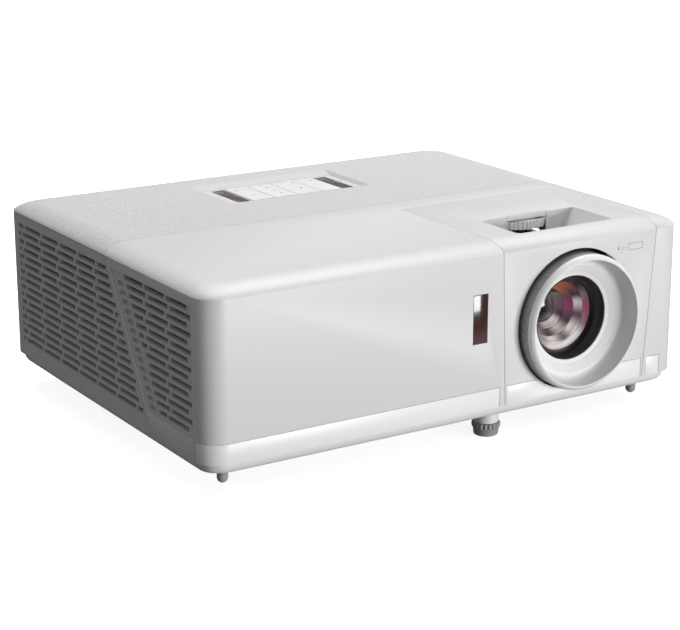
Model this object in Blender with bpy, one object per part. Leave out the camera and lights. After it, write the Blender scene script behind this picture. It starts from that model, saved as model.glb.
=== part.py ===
"""Home projector as an assembly: shells, grilles, keypad, lens with shift and focus, feet, inner modules.

Frame: +Z up, the lens looks along -Y, +X is the lens side.  The origin is at the middle of the
footprint, on the surface the feet stand on.  All sizes below are in millimetres; each mesh is
scaled to metres once, when it is made.
"""
import math

import bmesh
import bpy
from mathutils import Vector
from mathutils.geometry import tessellate_polygon

MM = 0.001                      # metres per millimetre
GAP = 0.4                       # gap between neighbouring pieces
FIT = 0.3                       # closer gap round the strip, the keys and the windows
BEYOND = 5.0                    # how far a cutter reaches past what it cuts

# ---- driving dimensions -------------------------------------------------------------------
BODY_W = 374.0                  # width over the sides
BODY_D = 296.5                  # front face to rear face
BODY_H = 117.8                  # underside to top
STAND = 16.3                    # height of the underside above the surface
LENS_PROUD = 12.0               # how far the focus ring stands in front of the front face
WALL = 2.5                      # shell thickness
CORNER_R = 16.0                 # plan radius of the four vertical corners
CORNER_STEPS = 5
EDGE_RUN, EDGE_RISE = 20.0, 9.0  # half axes of the rounding between the walls and the top
EDGE_CUT = 1.0                  # how much of the rounding the side crease cuts off
COVER_FOOT = 7.2                # lower edge of the covers above the underside
CASE_INSET = 3.0                # how far the bottom case stands in from the covers

SEAM_TOP = 139.2                # parting line of the covers on the top, behind the front face
SEAM_CREASE = 134.5             # the same at the side crease
SEAM_SLOPE = 0.585              # forward run of the slanted side seam per unit of drop

PANEL_TOP_X = (33.0, 162.3)     # lens panel: side seams on the top
PANEL_FOOT_X = (36.7, 154.4)    # lens panel: side seams at the foot of the front
PANEL_REAR = 118.3              # lens panel: rear edge, behind the front face
LENS_X, LENS_H = 94.8, 57.6     # lens axis: across, and above the underside
HOLE_R, HOLE_H = 48.4, 58.4     # hole in the lens panel
LENS_STEPS = 48

DIAL_X, DIAL_BACK, DIAL_R = 98.6, 77.3, 22.0
DIAL_H, DIAL_THICK = 107.9, 5.8
DIAL_TEETH = 48
TUB_X = (54.5, 142.5)           # thumb recess over the dial
TUB_BACK = (18.3, 61.3)
TUB_DEEP, TUB_WALL = 15.6, 1.4
MOUTH_HALF, MOUTH_DEEP = 17.0, 14.7  # opening in the recess's rear wall for the dial
MOUTH_SLOT, MOUTH_RUN = 7.0, 5.0  # its slot in the recess floor: forward, and on to the right

KEY_EDGES = (-37.8, -19.0, 0.6, 20.2, 37.8)
KEY_GAP = 0.5
KEY_CROWN = 0.6                 # width and height of the sloped edge round a key's top
STATUS_X = (38.8, 48.4)         # status window, mirrored on the left
KEYPAD_BACK = (204.7, 246.3)
DISH_X, DISH_BACK = 58.5, (197.8, 261.8)
DISH_FLAT_X, DISH_FLAT_BACK = 55.0, (202.3, 249.3)
DISH_DEEP = 2.0

SLOT_ROWS, SLOT_PITCH, SLOT_TOP, SLOT_TALL = 16, 5.53, 103.0, 3.4
BAR_PITCH, BAR_WIDE, BAR_SHIFT = 29.46, 2.4, 4.4
SIDE_TOP = 111.2                # top of the side panels, at the crease
SIDE_REAR = 278.0               # rear edge of the side panels, behind the front face
SLOT_REAR = 275.5
REAR_BAR, FRONT_BAR = 236.3, 51.7  # one bar of the even rows in the rear and the front area
SLOT_FRONT = 22.9               # front end of the front area's even rows
SEAM_RIM, SEAM_FLANGE = 1.9, 20.0  # solid margins behind and ahead of the slanted seam
FRONT_GRILLE_H = (21.6, 105.0)
FRONT_GRILLE_START = 16.8
GRILLE_MARGIN = 4.0             # from the slanted seam to the front grille
GRILLE_SINK = 1.0
PLATE = 4.6                     # thickness of the slotted side plates, as deep as their louvres

STRIP_TOP, STRIP_DEEP = 20.6, 1.2
IR_X, IR_H = (9.8, 20.8), (53.8, 86.4)
IR_SINK, IR_THICK = 0.6, 2.0
BEZEL_TALL, BEZEL_THICK = 3.4, 1.4

BARREL_R, BARREL_REAR = 38.8, 84.0
CARRIAGE, CARRIAGE_HALF = (64.0, 70.0), 44.0

FOOT_FRONT = (33.6, 16.5)       # x and distance behind the front face
FOOT_REAR = (150.0, 270.0)
FOOT_STEM_R, FOOT_WHEEL_H = 8.4, 8.7
BUMPER = (164.4, 22.0)
BUMPER_R, BUMPER_DROP = 3.6, 12.3
FOOT_WORDS = ("front", "rear_left", "rear_right")

IO_X, IO_H = (-152.0, 152.0), (13.0, 64.0)
IO_SINK, IO_THICK = 3.0, 1.5
IO_MID = 40.0                   # middle line of the sockets
JACK_R, JACK_BORE = 5.0, 1.9
# name, x, half width, half height, wall, chamfer of the lower corners
SOCKETS = (("hdmi_port_1", 118.0, 8.0, 3.4, 0.6, 1.6), ("hdmi_port_2", 94.0, 8.0, 3.4, 0.6, 1.6),
           ("usb_port", 72.0, 7.2, 3.6, 0.6, 0.1), ("lan_port", 50.0, 8.2, 7.0, 1.0, 0.1),
           ("vga_port", 18.0, 12.4, 6.2, 1.2, 1.6), ("serial_port", -18.0, 12.4, 6.2, 1.2, 1.6),
           ("power_inlet", -124.0, 15.0, 11.5, 2.2, 4.0))
JACKS = (("audio_in_jack", -52.0), ("audio_out_jack", -70.0))

# name, span across, span behind the front face, span above the underside
MODULES = (("light_engine", (50, 140), (86, 150), (10, 88)),
           ("laser_module", (-60, 20), (110, 165), (10, 66)),
           ("power_supply", (-160, -30), (12, 84), (10, 52)),
           ("main_board", (-138, 138), (212, 280), (20, 21.6)),
           ("speaker", (60, 130), (176, 206), (12, 80)))
FIN_COUNT, FIN_PITCH, FIN_THICK, FIN_START = 9, 9.0, 3.0, -148.0
FIN_BACK, FIN_FOOT, FIN_ROOT, FIN_TOP = (110, 190), 8, 14, 90
FAN_X = (162.0, 180.0)
FAN_BACK, FAN_H, FAN_HALF, FAN_R = 210.0, 57.0, 45.0, 41.0
FAN_BLADES, FAN_HUB_R, FAN_SIDE = 7, 15.0, 4.0
WHEEL_PLACE, WHEEL_R, WHEEL_HUB_R = (-15.0, 182.0, 40.0), 26.0, 8.0

FRONT = LENS_PROUD - (BODY_D + LENS_PROUD) / 2
REAR = FRONT + BODY_D
SIDE = BODY_W / 2
# lengths of the foot strip: span across, and how far back they run
STRIP_LEFT = ((-SIDE - 10, 32.0), 14.5)
STRIP_RIGHT = ((158.0, 169.8), 10.0)
STRIP_PANEL = ((38.0, 153.0), 10.0)


def back(distance):
    """y of a point this far behind the front face."""
    return FRONT + distance


def up(height):
    """z of a point this far above the underside of the body."""
    return STAND + height


TOP = up(BODY_H)
LENS_Z = up(LENS_H)

for item in list(bpy.data.objects):
    bpy.data.objects.remove(item, do_unlink=True)


# ---- materials ----------------------------------------------------------------------------
def make_material(name, colour, roughness, metallic=0.0, alpha=1.0):
    material = bpy.data.materials.new(name)
    material.use_nodes = True
    shader = material.node_tree.nodes["Principled BSDF"]
    shader.inputs["Base Color"].default_value = (*colour, 1.0)
    shader.inputs["Roughness"].default_value = roughness
    shader.inputs["Metallic"].default_value = metallic
    shader.inputs["Alpha"].default_value = alpha
    material.diffuse_color = (*colour, alpha)
    return material


WHITE = make_material("white_abs", (0.71, 0.71, 0.71), 0.45)
TEXTURED = make_material("white_textured_abs", (0.66, 0.66, 0.66), 0.55)
TRIM = make_material("white_trim", (0.80, 0.80, 0.80), 0.4)
GRILLE = make_material("white_grille", (0.60, 0.60, 0.60), 0.5)
KEYS = make_material("white_key", (0.82, 0.82, 0.82), 0.4)
SMOKED = make_material("smoked_window", (0.035, 0.015, 0.015), 0.12)
BLACK = make_material("black_plastic", (0.02, 0.02, 0.02), 0.5)
GREY = make_material("grey_plastic", (0.32, 0.32, 0.33), 0.5)
RUBBER = make_material("black_rubber", (0.03, 0.03, 0.03), 0.8)
GLASS = make_material("coated_glass", (0.55, 0.45, 0.5), 0.03, 0.0, 0.35)
ALLOY = make_material("cast_aluminium", (0.55, 0.56, 0.57), 0.4, 1.0)
STEEL = make_material("plated_steel", (0.6, 0.6, 0.6), 0.3, 1.0)
BOARD = make_material("circuit_board", (0.03, 0.16, 0.07), 0.5)


# ---- mesh makers --------------------------------------------------------------------------
def add_mesh(name, points, faces, material):
    mesh = bpy.data.meshes.new(name)
    mesh.from_pydata([Vector(point) * MM for point in points], [], faces)
    shape = bmesh.new()
    shape.from_mesh(mesh)
    bmesh.ops.recalc_face_normals(shape, faces=shape.faces)
    shape.to_mesh(mesh)
    shape.free()
    mesh.materials.append(material)
    piece = bpy.data.objects.new(name, mesh)
    bpy.context.collection.objects.link(piece)
    return piece


def loft(name, rings, material, wrap=False):
    """Skin a row of equal rings; the ends are capped unless the row closes on itself."""
    count = len(rings[0])
    points = [point for ring in rings for point in ring]
    faces = []
    for step in range(len(rings) if wrap else len(rings) - 1):
        low = step * count
        high = (step + 1) % len(rings) * count
        for i in range(count):
            j = (i + 1) % count
            faces.append((low + i, low + j, high + j, high + i))
    if not wrap:
        last = (len(rings) - 1) * count
        faces.append(tuple(reversed(range(count))))
        faces.append(tuple(range(last, last + count)))
    return add_mesh(name, points, faces, material)


def prism(name, axis, start, end, outline, holes, material):
    """Extrude an outline with holes along an axis; points keep the X, Y, Z order of the other two."""
    loops = [outline] + holes
    flat = [point for loop in loops for point in loop]
    filled = tessellate_polygon([[Vector((*point, 0.0)) for point in loop] for loop in loops])
    points = []
    for depth in (start, end):
        for point in flat:
            coordinates = list(point)
            coordinates.insert(axis, depth)
            points.append(coordinates)
    count = len(flat)
    faces = [tuple(triangle) for triangle in filled]
    faces += [tuple(corner + count for corner in triangle) for triangle in filled]
    first = 0
    for loop in loops:
        for i in range(len(loop)):
            a = first + i
            b = first + (i + 1) % len(loop)
            faces.append((a, b, b + count, a + count))
        first += len(loop)
    return add_mesh(name, points, faces, material)


def box(name, x, y, z, material):
    corners = [(x[0], y[0]), (x[1], y[0]), (x[1], y[1]), (x[0], y[1])]
    return prism(name, 2, z[0], z[1], corners, [], material)


def turned_rings(axis, centre, profile, steps):
    """One ring for each (radius, height) of a profile turned about an axis through the centre."""
    rings = []
    for radius, height in profile:
        ring = []
        for x, y in circle(0.0, 0.0, radius, steps):
            point = [x, y]
            point.insert(axis, height)
            ring.append([a + b for a, b in zip(point, centre)])
        rings.append(ring)
    return rings


def lathe(name, axis, centre, profile, material, steps=LENS_STEPS):
    """Turn a closed profile: a ring-shaped piece."""
    return loft(name, turned_rings(axis, centre, profile, steps), material, wrap=True)


def turned_solid(name, axis, centre, profile, material, steps=LENS_STEPS):
    """Turn an open profile and cap it flat at both ends."""
    return loft(name, turned_rings(axis, centre, profile, steps), material)


def circle(x, y, radius, steps):
    turns = (2 * math.pi * i / steps for i in range(steps))
    return [(x + radius * math.cos(turn), y + radius * math.sin(turn)) for turn in turns]


def rectangle(x0, x1, y0, y1):
    return [(x0, y0), (x1, y0), (x1, y1), (x0, y1)]


def boolean(target, cutter, operation):
    """Cut, join or intersect the target with the cutter, then drop the cutter."""
    modifier = target.modifiers.new("boolean", 'BOOLEAN')
    modifier.operation = operation
    modifier.solver = 'EXACT'
    modifier.object = cutter
    bpy.context.view_layer.update()
    evaluated = target.evaluated_get(bpy.context.evaluated_depsgraph_get())
    shaped = bpy.data.meshes.new_from_object(evaluated)
    target.modifiers.clear()
    target.data = shaped
    material = shaped.materials[0]
    shaped.materials.clear()
    shaped.materials.append(material)
    for polygon in shaped.polygons:
        polygon.material_index = 0
    bpy.data.objects.remove(cutter, do_unlink=True)
    return target


# ---- casing -------------------------------------------------------------------------------
def plan_ring(height, inset, radius=None):
    """Rounded plan outline of the body at a height, stood in by an inset."""
    radius = max(CORNER_R - 0.35 * inset, 2.0) if radius is None else radius
    x = SIDE - inset
    y0, y1 = FRONT + inset, REAR - inset
    corners = ((x - radius, y0 + radius, -90), (x - radius, y1 - radius, 0),
               (radius - x, y1 - radius, 90), (radius - x, y0 + radius, 180))
    ring = []
    for cx, cy, start in corners:
        for i in range(CORNER_STEPS + 1):
            angle = math.radians(start + 90 * i / CORNER_STEPS)
            ring.append((cx + radius * math.cos(angle), cy + radius * math.sin(angle), up(height)))
    return ring


def edge_rings():
    """Rings of the rounding from the side crease to the flat top."""
    centre = BODY_H - EDGE_RISE
    start = math.acos(1 - EDGE_CUT / EDGE_RUN)
    rings = []
    for i in range(6):
        angle = start + (math.pi / 2 - start) * i / 5
        inset = EDGE_RUN * (1 - math.cos(angle)) - EDGE_CUT
        rings.append(plan_ring(centre + EDGE_RISE * math.sin(angle), inset))
    return rings


def cover_shell(name, material):
    """The whole upper shell, open below, before it is parted into covers."""
    inner = [plan_ring(BODY_H - WALL, 17.0), plan_ring(106.0, WALL), plan_ring(COVER_FOOT, WALL)]
    outer = [plan_ring(COVER_FOOT, 0.0)] + edge_rings()
    return loft(name, inner + outer, material)


def seam_back(height):
    """Distance behind the front face of the slanted side seam at a height."""
    return SEAM_CREASE - SEAM_SLOPE * (SIDE_TOP - height)


def front_region(grow):
    """Everything ahead of the parting line between the covers."""
    line = [(back(seam_back(-20)) + grow, up(-20)), (back(SEAM_CREASE) + grow, up(SIDE_TOP)),
            (back(SEAM_TOP) + grow, up(BODY_H - 0.5)), (back(SEAM_TOP) + grow, TOP + 20)]
    outline = [(FRONT - 60, up(-20))] + line + [(FRONT - 60, TOP + 20)]
    return prism("region", 0, -SIDE - 50, SIDE + 50, outline, [], WHITE)


def panel_region(grow):
    """The tapered area of the lens panel, over the front and the top."""
    outline = [(PANEL_FOOT_X[0] - grow, up(-20)), (PANEL_FOOT_X[0] - grow, up(COVER_FOOT)),
               (PANEL_TOP_X[0] - grow, up(SIDE_TOP)), (PANEL_TOP_X[0] - grow, TOP + 20),
               (PANEL_TOP_X[1] + grow, TOP + 20), (PANEL_TOP_X[1] + grow, up(SIDE_TOP)),
               (PANEL_FOOT_X[1] + grow, up(COVER_FOOT)), (PANEL_FOOT_X[1] + grow, up(-20))]
    return prism("region", 1, FRONT - 40, back(PANEL_REAR) + grow, outline, [], WHITE)


def strip_band(grow):
    """Closed band of the lighter strip round the foot of the covers."""
    low, high = COVER_FOOT - grow, STRIP_TOP + grow
    outer = -3.0 if grow else 0.0
    inner = STRIP_DEEP + grow
    rings = [plan_ring(low, inner, CORNER_R - inner), plan_ring(low, outer, CORNER_R),
             plan_ring(high, outer, CORNER_R), plan_ring(high, inner, CORNER_R - inner)]
    return loft("strip", rings, TRIM, wrap=True)


def strip(name, x, rear, grow=0.0):
    """One length of the strip, kept between two x values and ahead of a depth."""
    piece = strip_band(grow)
    piece.name = name
    area = box("area", (x[0] - grow, x[1] + grow), (FRONT - 10, back(rear) + grow),
               (up(-5), up(STRIP_TOP + 5)), TRIM)
    return boolean(piece, area, 'INTERSECT')


def side_outline(grow):
    """Rear side panel: a plate bounded in front by the slanted seam."""
    low, high = COVER_FOOT - grow, SIDE_TOP - 0.2 + grow
    return [(back(seam_back(low)) + GAP - grow, up(low)), (back(SIDE_REAR) + grow, up(low)),
            (back(SIDE_REAR) + grow, up(high)), (back(seam_back(high)) + GAP - grow, up(high))]


def grille_outline(grow):
    """Front side grille: a sunk plate between the slanted seam and the front corner."""
    low, high = FRONT_GRILLE_H[0] - grow, FRONT_GRILLE_H[1] + grow
    margin = GRILLE_MARGIN - grow
    start = back(FRONT_GRILLE_START) - grow
    return [(start, up(low)), (back(seam_back(low)) - margin, up(low)),
            (back(seam_back(high)) - margin, up(high)), (start, up(high))]


def slot_row(row, first_bar, start, end):
    """Openings of one grille row between two depths, parted by narrow bars."""
    height = SLOT_TOP - SLOT_PITCH * row
    bar = first_bar - BAR_PITCH * math.ceil((first_bar - start) / BAR_PITCH)
    openings = []
    while bar < end:
        near = max(bar + BAR_WIDE / 2, start)
        far = min(bar + BAR_PITCH - BAR_WIDE / 2, end)
        if far - near > SLOT_TALL:
            openings.append(rectangle(back(near), back(far),
                                      up(height - SLOT_TALL / 2), up(height + SLOT_TALL / 2)))
        bar += BAR_PITCH
    return openings


def make_covers():
    front = cover_shell("front_cover", WHITE)
    boolean(front, front_region(0.0), 'INTERSECT')
    boolean(front, panel_region(GAP / 2), 'DIFFERENCE')
    rear = cover_shell("rear_cover", TEXTURED)
    boolean(rear, front_region(GAP), 'DIFFERENCE')
    panel = cover_shell("lens_panel", WHITE)
    boolean(panel, panel_region(-GAP / 2), 'INTERSECT')

    window = rectangle(IR_X[0] - GAP, IR_X[1] + GAP, up(IR_H[0] - GAP), up(IR_H[1] + GAP))
    boolean(front, prism("cut", 1, FRONT - 5, FRONT + 10, window, [], WHITE), 'DIFFERENCE')
    boolean(front, strip("cut", *STRIP_LEFT, grow=FIT), 'DIFFERENCE')
    boolean(front, strip("cut", *STRIP_RIGHT, grow=FIT), 'DIFFERENCE')
    for side in (-1, 1):
        low, high = sorted((side * (SIDE - 10), side * (SIDE + 10)))
        boolean(front, prism("cut", 0, low, high, grille_outline(GAP), [], WHITE), 'DIFFERENCE')
        boolean(rear, prism("cut", 0, low, high, side_outline(GAP), [], WHITE), 'DIFFERENCE')

    deep = up(BODY_H - DISH_DEEP)
    flat = rectangle(-DISH_FLAT_X - GAP, DISH_FLAT_X + GAP,
                     back(DISH_FLAT_BACK[0]) - GAP, back(DISH_FLAT_BACK[1]) + GAP)
    rim = rectangle(-DISH_X, DISH_X, back(DISH_BACK[0]), back(DISH_BACK[1]))
    dish = [[(*point, height) for point in ring] for ring, height in
            ((flat, up(90)), (flat, deep), (rim, TOP + 0.01), (rim, TOP + 5))]
    boolean(rear, loft("cut", dish, WHITE), 'DIFFERENCE')
    io = rectangle(IO_X[0] - GAP, IO_X[1] + GAP, up(IO_H[0] - GAP), up(IO_H[1] + GAP))
    boolean(rear, prism("cut", 1, REAR - 10, REAR + 5, io, [], WHITE), 'DIFFERENCE')

    boolean(panel, make_tub(), 'UNION')
    low = TOP - TUB_DEEP
    hollow = [(TUB_X[0], TOP + 5), (TUB_X[0], TOP), (TUB_X[0] + TUB_DEEP, low),
              (TUB_X[1] - TUB_DEEP, low), (TUB_X[1], TOP), (TUB_X[1], TOP + 5)]
    boolean(panel, prism("cut", 1, back(TUB_BACK[0]), back(TUB_BACK[1]), hollow, [], WHITE), 'DIFFERENCE')
    y_wall = back(TUB_BACK[1])
    mouth = box("cut", (DIAL_X - MOUTH_HALF, DIAL_X + MOUTH_HALF), (y_wall - 0.5, y_wall + TUB_WALL + 0.4),
                (TOP - MOUTH_DEEP, TOP + BEYOND), WHITE)
    boolean(panel, mouth, 'DIFFERENCE')
    slot = box("cut", (DIAL_X - MOUTH_HALF, DIAL_X + MOUTH_HALF + MOUTH_RUN),
               (y_wall - MOUTH_SLOT, y_wall - 0.1), (low - BEYOND, low + 0.9), WHITE)
    boolean(panel, slot, 'DIFFERENCE')
    boolean(panel, ring_hole(), 'DIFFERENCE')
    boolean(panel, strip("cut", *STRIP_PANEL, grow=FIT), 'DIFFERENCE')

    strip("trim_strip_left", *STRIP_LEFT)
    strip("trim_strip_right", *STRIP_RIGHT)
    boolean(strip("trim_strip_panel", *STRIP_PANEL), ring_hole(), 'DIFFERENCE')


def ring_hole():
    """Cutter of the round hole that the focus ring stands in."""
    ends = [(HOLE_R, FRONT - BEYOND), (HOLE_R, FRONT + BEYOND + 1)]
    return turned_solid("cut", 1, (LENS_X, 0, up(HOLE_H)), ends, WHITE)


def make_tub():
    """Walls of the thumb recess that hangs under the top of the lens panel."""
    wall = TUB_WALL
    low = TOP - TUB_DEEP - wall
    high = TOP - 1.2
    outline = [(TUB_X[0] - wall, high), (TUB_X[0] + TUB_DEEP - wall, low),
               (TUB_X[1] - TUB_DEEP + wall, low), (TUB_X[1] + wall, high)]
    return prism("tub", 1, back(TUB_BACK[0] - wall), back(TUB_BACK[1] + wall), outline, [], WHITE)


def make_bottom_case():
    rings = [plan_ring(2.5, 7.0), plan_ring(6.8, 6.0), plan_ring(6.8, CASE_INSET),
             plan_ring(3.0, CASE_INSET + 0.4), plan_ring(0.8, CASE_INSET + 1.8),
             plan_ring(0.0, CASE_INSET + 4.0)]
    case = loft("bottom_case", rings, WHITE)
    for x, y in foot_places():
        hole = turned_solid("cut", 2, (x, y, 0), [(FOOT_STEM_R + GAP, up(-5)), (FOOT_STEM_R + GAP, up(12))],
                            WHITE, 20)
        boolean(case, hole, 'DIFFERENCE')


def make_side_panels():
    rear_slots, front_slots = [], []
    for row in range(SLOT_ROWS):
        step = BAR_SHIFT if row % 2 else 0.0
        high = SLOT_TOP - SLOT_PITCH * row + SLOT_TALL / 2
        low = high - SLOT_TALL
        rear_slots += slot_row(row, REAR_BAR + step, seam_back(high) + SEAM_RIM, SLOT_REAR)
        if low > FRONT_GRILLE_H[0]:
            front_slots += slot_row(row, FRONT_BAR - step, SLOT_FRONT - step, seam_back(low) - SEAM_FLANGE)
    for side, word in ((-1, "left"), (1, "right")):
        x0, x1 = sorted((side * (SIDE - PLATE), side * SIDE))
        prism("side_panel_" + word, 0, x0, x1, side_outline(0.0), rear_slots, GRILLE)
        sunk = side * GRILLE_SINK
        prism("front_grille_" + word, 0, x0 - sunk, x1 - sunk, grille_outline(0.0), front_slots, GRILLE)


def make_front_details():
    pane = rectangle(IR_X[0], IR_X[1], up(IR_H[0]), up(IR_H[1]))
    prism("ir_window", 1, FRONT + IR_SINK, FRONT + IR_SINK + IR_THICK, pane, [], SMOKED)
    half = MOUTH_HALF - GAP
    bezel_top = TOP - 0.2
    box("dial_bezel", (DIAL_X - half, DIAL_X + half), (back(TUB_BACK[1]), back(TUB_BACK[1] + BEZEL_THICK)),
        (bezel_top - BEZEL_TALL, bezel_top), WHITE)
    for side, word in ((-1, "left"), (1, "right")):
        nose = up(-BUMPER_DROP)
        arc = [(BUMPER_R * math.sin(turn), nose + BUMPER_R * (1 - math.cos(turn)))
               for turn in (math.radians(angle) for angle in (15, 35, 60, 90))]
        turned_solid("bumper_" + word, 2, (side * BUMPER[0], back(BUMPER[1]), 0),
                     arc + [(BUMPER_R, up(-0.3))], RUBBER, 16)


# ---- keypad -------------------------------------------------------------------------------
def key_spans():
    return [(a + KEY_GAP / 2, b - KEY_GAP / 2) for a, b in zip(KEY_EDGES, KEY_EDGES[1:])]


def make_keypad():
    face = up(BODY_H - DISH_DEEP)
    y0, y1 = back(KEYPAD_BACK[0]), back(KEYPAD_BACK[1])
    windows = {"left": (-STATUS_X[1], -STATUS_X[0]), "right": STATUS_X}
    openings = [(KEY_EDGES[0], KEY_EDGES[-1])] + list(windows.values())
    holes = [rectangle(a - FIT, b + FIT, y0 - FIT, y1 + FIT) for a, b in openings]
    outline = rectangle(-DISH_FLAT_X, DISH_FLAT_X, back(DISH_FLAT_BACK[0]), back(DISH_FLAT_BACK[1]))
    prism("keypad_bezel", 2, face - WALL, face, outline, holes, WHITE)
    for word, span in windows.items():
        box("status_window_" + word, span, (y0, y1), (face - WALL, face - 0.1), SMOKED)
    for number, (left, right) in enumerate(key_spans(), 1):
        make_key("key_%d" % number, left, right, y0, y1, face)


def make_key(name, left, right, y0, y1, face):
    """Rectangular key with a sloped edge round its top."""
    levels = ((0.0, face - 3.0), (0.0, face + 0.3), (KEY_CROWN, face + 0.7))
    rings = []
    for inset, height in levels:
        corners = rectangle(left + inset, right - inset, y0 + inset, y1 - inset)
        rings.append([(*corner, height) for corner in corners])
    loft(name, rings, KEYS)


# ---- lens ---------------------------------------------------------------------------------
def along(proud):
    """y of a point this far in front of the front face."""
    return FRONT - proud


def lens_profile(points):
    return [(radius, along(proud)) for radius, proud in points]


def make_lens():
    centre = (LENS_X, 0, LENS_Z)
    ring = [(46.6, -14.0), (46.6, 7.8), (46.1, 9.6), (45.0, 11.2), (44.2, 12.0), (43.6, 11.8), (42.8, 8.0),
            (41.2, 3.5), (37.5, -1.5), (32.3, -4.3), (29.2, -5.5), (29.2, -7.2), (40.0, -7.2), (40.0, -14.0)]
    lathe("focus_ring", 1, centre, lens_profile(ring), WHITE)
    baffle = [(28.9, -16.0), (28.9, -5.8), (28.3, -5.8), (25.1, -12.0), (25.1, -16.0)]
    lathe("lens_baffle", 1, centre, lens_profile(baffle), BLACK)
    barrel = [(BARREL_R, -BARREL_REAR), (BARREL_R, -7.8), (29.3, -7.8), (29.3, -16.4), (25.1, -16.4),
              (25.1, -22.4), (21.5, -22.4), (21.5, -32.0), (17.5, -32.0), (17.5, -42.0), (13.4, -42.0),
              (13.4, -52.0), (9.5, -52.0), (9.5, -BARREL_REAR)]
    lathe("lens_barrel", 1, centre, lens_profile(barrel), BLACK, 32)
    front_glass = [(24.8, -21.6), (24.8, -13.4), (20.0, -11.4), (13.0, -9.8), (5.0, -9.1)]
    turned_solid("front_glass", 1, centre, lens_profile(front_glass), GLASS, 32)
    rear_glass = [(13.0, -51.0), (13.0, -46.0), (10.0, -43.5), (5.0, -42.0)]
    turned_solid("rear_glass", 1, centre, lens_profile(rear_glass), GLASS, 24)

    half = CARRIAGE_HALF
    plate = rectangle(LENS_X - half, LENS_X + half, LENS_Z - half, LENS_Z + half)
    bore = circle(LENS_X, LENS_Z, BARREL_R + FIT, 32)
    prism("lens_carriage", 1, back(CARRIAGE[0]), back(CARRIAGE[1]), plate, [bore], ALLOY)

    wheel = []
    for i in range(DIAL_TEETH):
        for turn, radius in ((0.0, DIAL_R - 0.8), (0.5, DIAL_R)):
            angle = 2 * math.pi * (i + turn) / DIAL_TEETH
            wheel.append((DIAL_X + radius * math.cos(angle), back(DIAL_BACK) + radius * math.sin(angle)))
    prism("shift_dial", 2, up(DIAL_H), up(DIAL_H + DIAL_THICK), wheel, [], WHITE)


# ---- feet ---------------------------------------------------------------------------------
def foot_places():
    return [(FOOT_FRONT[0], back(FOOT_FRONT[1])),
            (-FOOT_REAR[0], back(FOOT_REAR[1])), (FOOT_REAR[0], back(FOOT_REAR[1]))]


def make_feet():
    for (x, y), word in zip(foot_places(), FOOT_WORDS):
        stem = [(FOOT_STEM_R - 3.0, 3.0), (FOOT_STEM_R - 3.0, FOOT_WHEEL_H + 0.3),
                (FOOT_STEM_R, FOOT_WHEEL_H + 0.3), (FOOT_STEM_R, up(16.0))]
        turned_solid("foot_stem_" + word, 2, (x, y, 0), stem, WHITE, 20)
        pocket = FOOT_STEM_R - 2.6
        wheel = [(8.2, 0.0), (8.8, 5.0), (9.7, 5.6), (9.7, FOOT_WHEEL_H), (pocket, FOOT_WHEEL_H),
                 (pocket, 2.6)]
        turned_solid("foot_wheel_" + word, 2, (x, y, 0), wheel, GREY, 20)


# ---- rear connections ---------------------------------------------------------------------
def socket(name, x, half_w, half_h, wall, material, proud=1.2, deep=10.0, chamfer=0.0):
    """Hollow connector shell in the rear panel, open to the rear; the chamfer narrows its foot."""
    def outline(w, h, y):
        foot = w - chamfer
        low, high = up(IO_MID) - h, up(IO_MID) + h
        return [(x - foot, y, low), (x - w, y, high - chamfer), (x - w, y, high),
                (x + w, y, high), (x + w, y, high - chamfer), (x + foot, y, low)]
    y_rear = REAR - IO_SINK + proud
    y_front = y_rear - deep - 2.0
    rings = [outline(half_w, half_h, y_front), outline(half_w, half_h, y_rear),
             outline(half_w - wall, half_h - wall, y_rear),
             outline(half_w - wall, half_h - wall, y_rear - deep)]
    return loft(name, rings, material)


def jack(name, x, material):
    face = REAR - 1.4
    profile = [(JACK_R, face - 12.6), (JACK_R, face), (JACK_BORE, face), (JACK_BORE, face - 10.6)]
    centre = (x, 0, up(IO_MID))
    return turned_solid(name, 1, centre, profile, material, 20)


def make_rear():
    holes = []
    for name, x, half_w, half_h, wall, chamfer in SOCKETS:
        material = BLACK if name in ("power_inlet", "lan_port") else STEEL
        socket(name, x, half_w, half_h, wall, material, chamfer=chamfer)
        holes.append(rectangle(x - half_w - GAP, x + half_w + GAP,
                               up(IO_MID) - half_h - GAP, up(IO_MID) + half_h + GAP))
    for name, x in JACKS:
        jack(name, x, BLACK)
        holes.append(circle(x, up(IO_MID), JACK_R + GAP, 20))
    outline = rectangle(IO_X[0], IO_X[1], up(IO_H[0]), up(IO_H[1]))
    prism("io_panel", 1, REAR - IO_SINK - IO_THICK, REAR - IO_SINK, outline, holes, GREY)


# ---- inner modules ------------------------------------------------------------------------
def make_fan(side, word):
    y, z = back(FAN_BACK), up(FAN_H)
    frame = rectangle(y - FAN_HALF, y + FAN_HALF, z - FAN_HALF, z + FAN_HALF)
    x0, x1 = sorted(side * x for x in FAN_X)
    prism("fan_frame_" + word, 0, x0, x1, frame, [circle(y, z, FAN_R + 1.0, 32)], BLACK)
    tip = FAN_R - 1.0
    blades = []
    for i in range(FAN_BLADES):
        for turn, radius in ((0.0, FAN_HUB_R), (0.08, tip), (0.48, tip), (0.55, FAN_HUB_R)):
            angle = 2 * math.pi * (i + turn) / FAN_BLADES
            blades.append((y + radius * math.cos(angle), z + radius * math.sin(angle)))
    prism("fan_rotor_" + word, 0, x0 + FAN_SIDE, x1 - FAN_SIDE, blades, [], BLACK)


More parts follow.
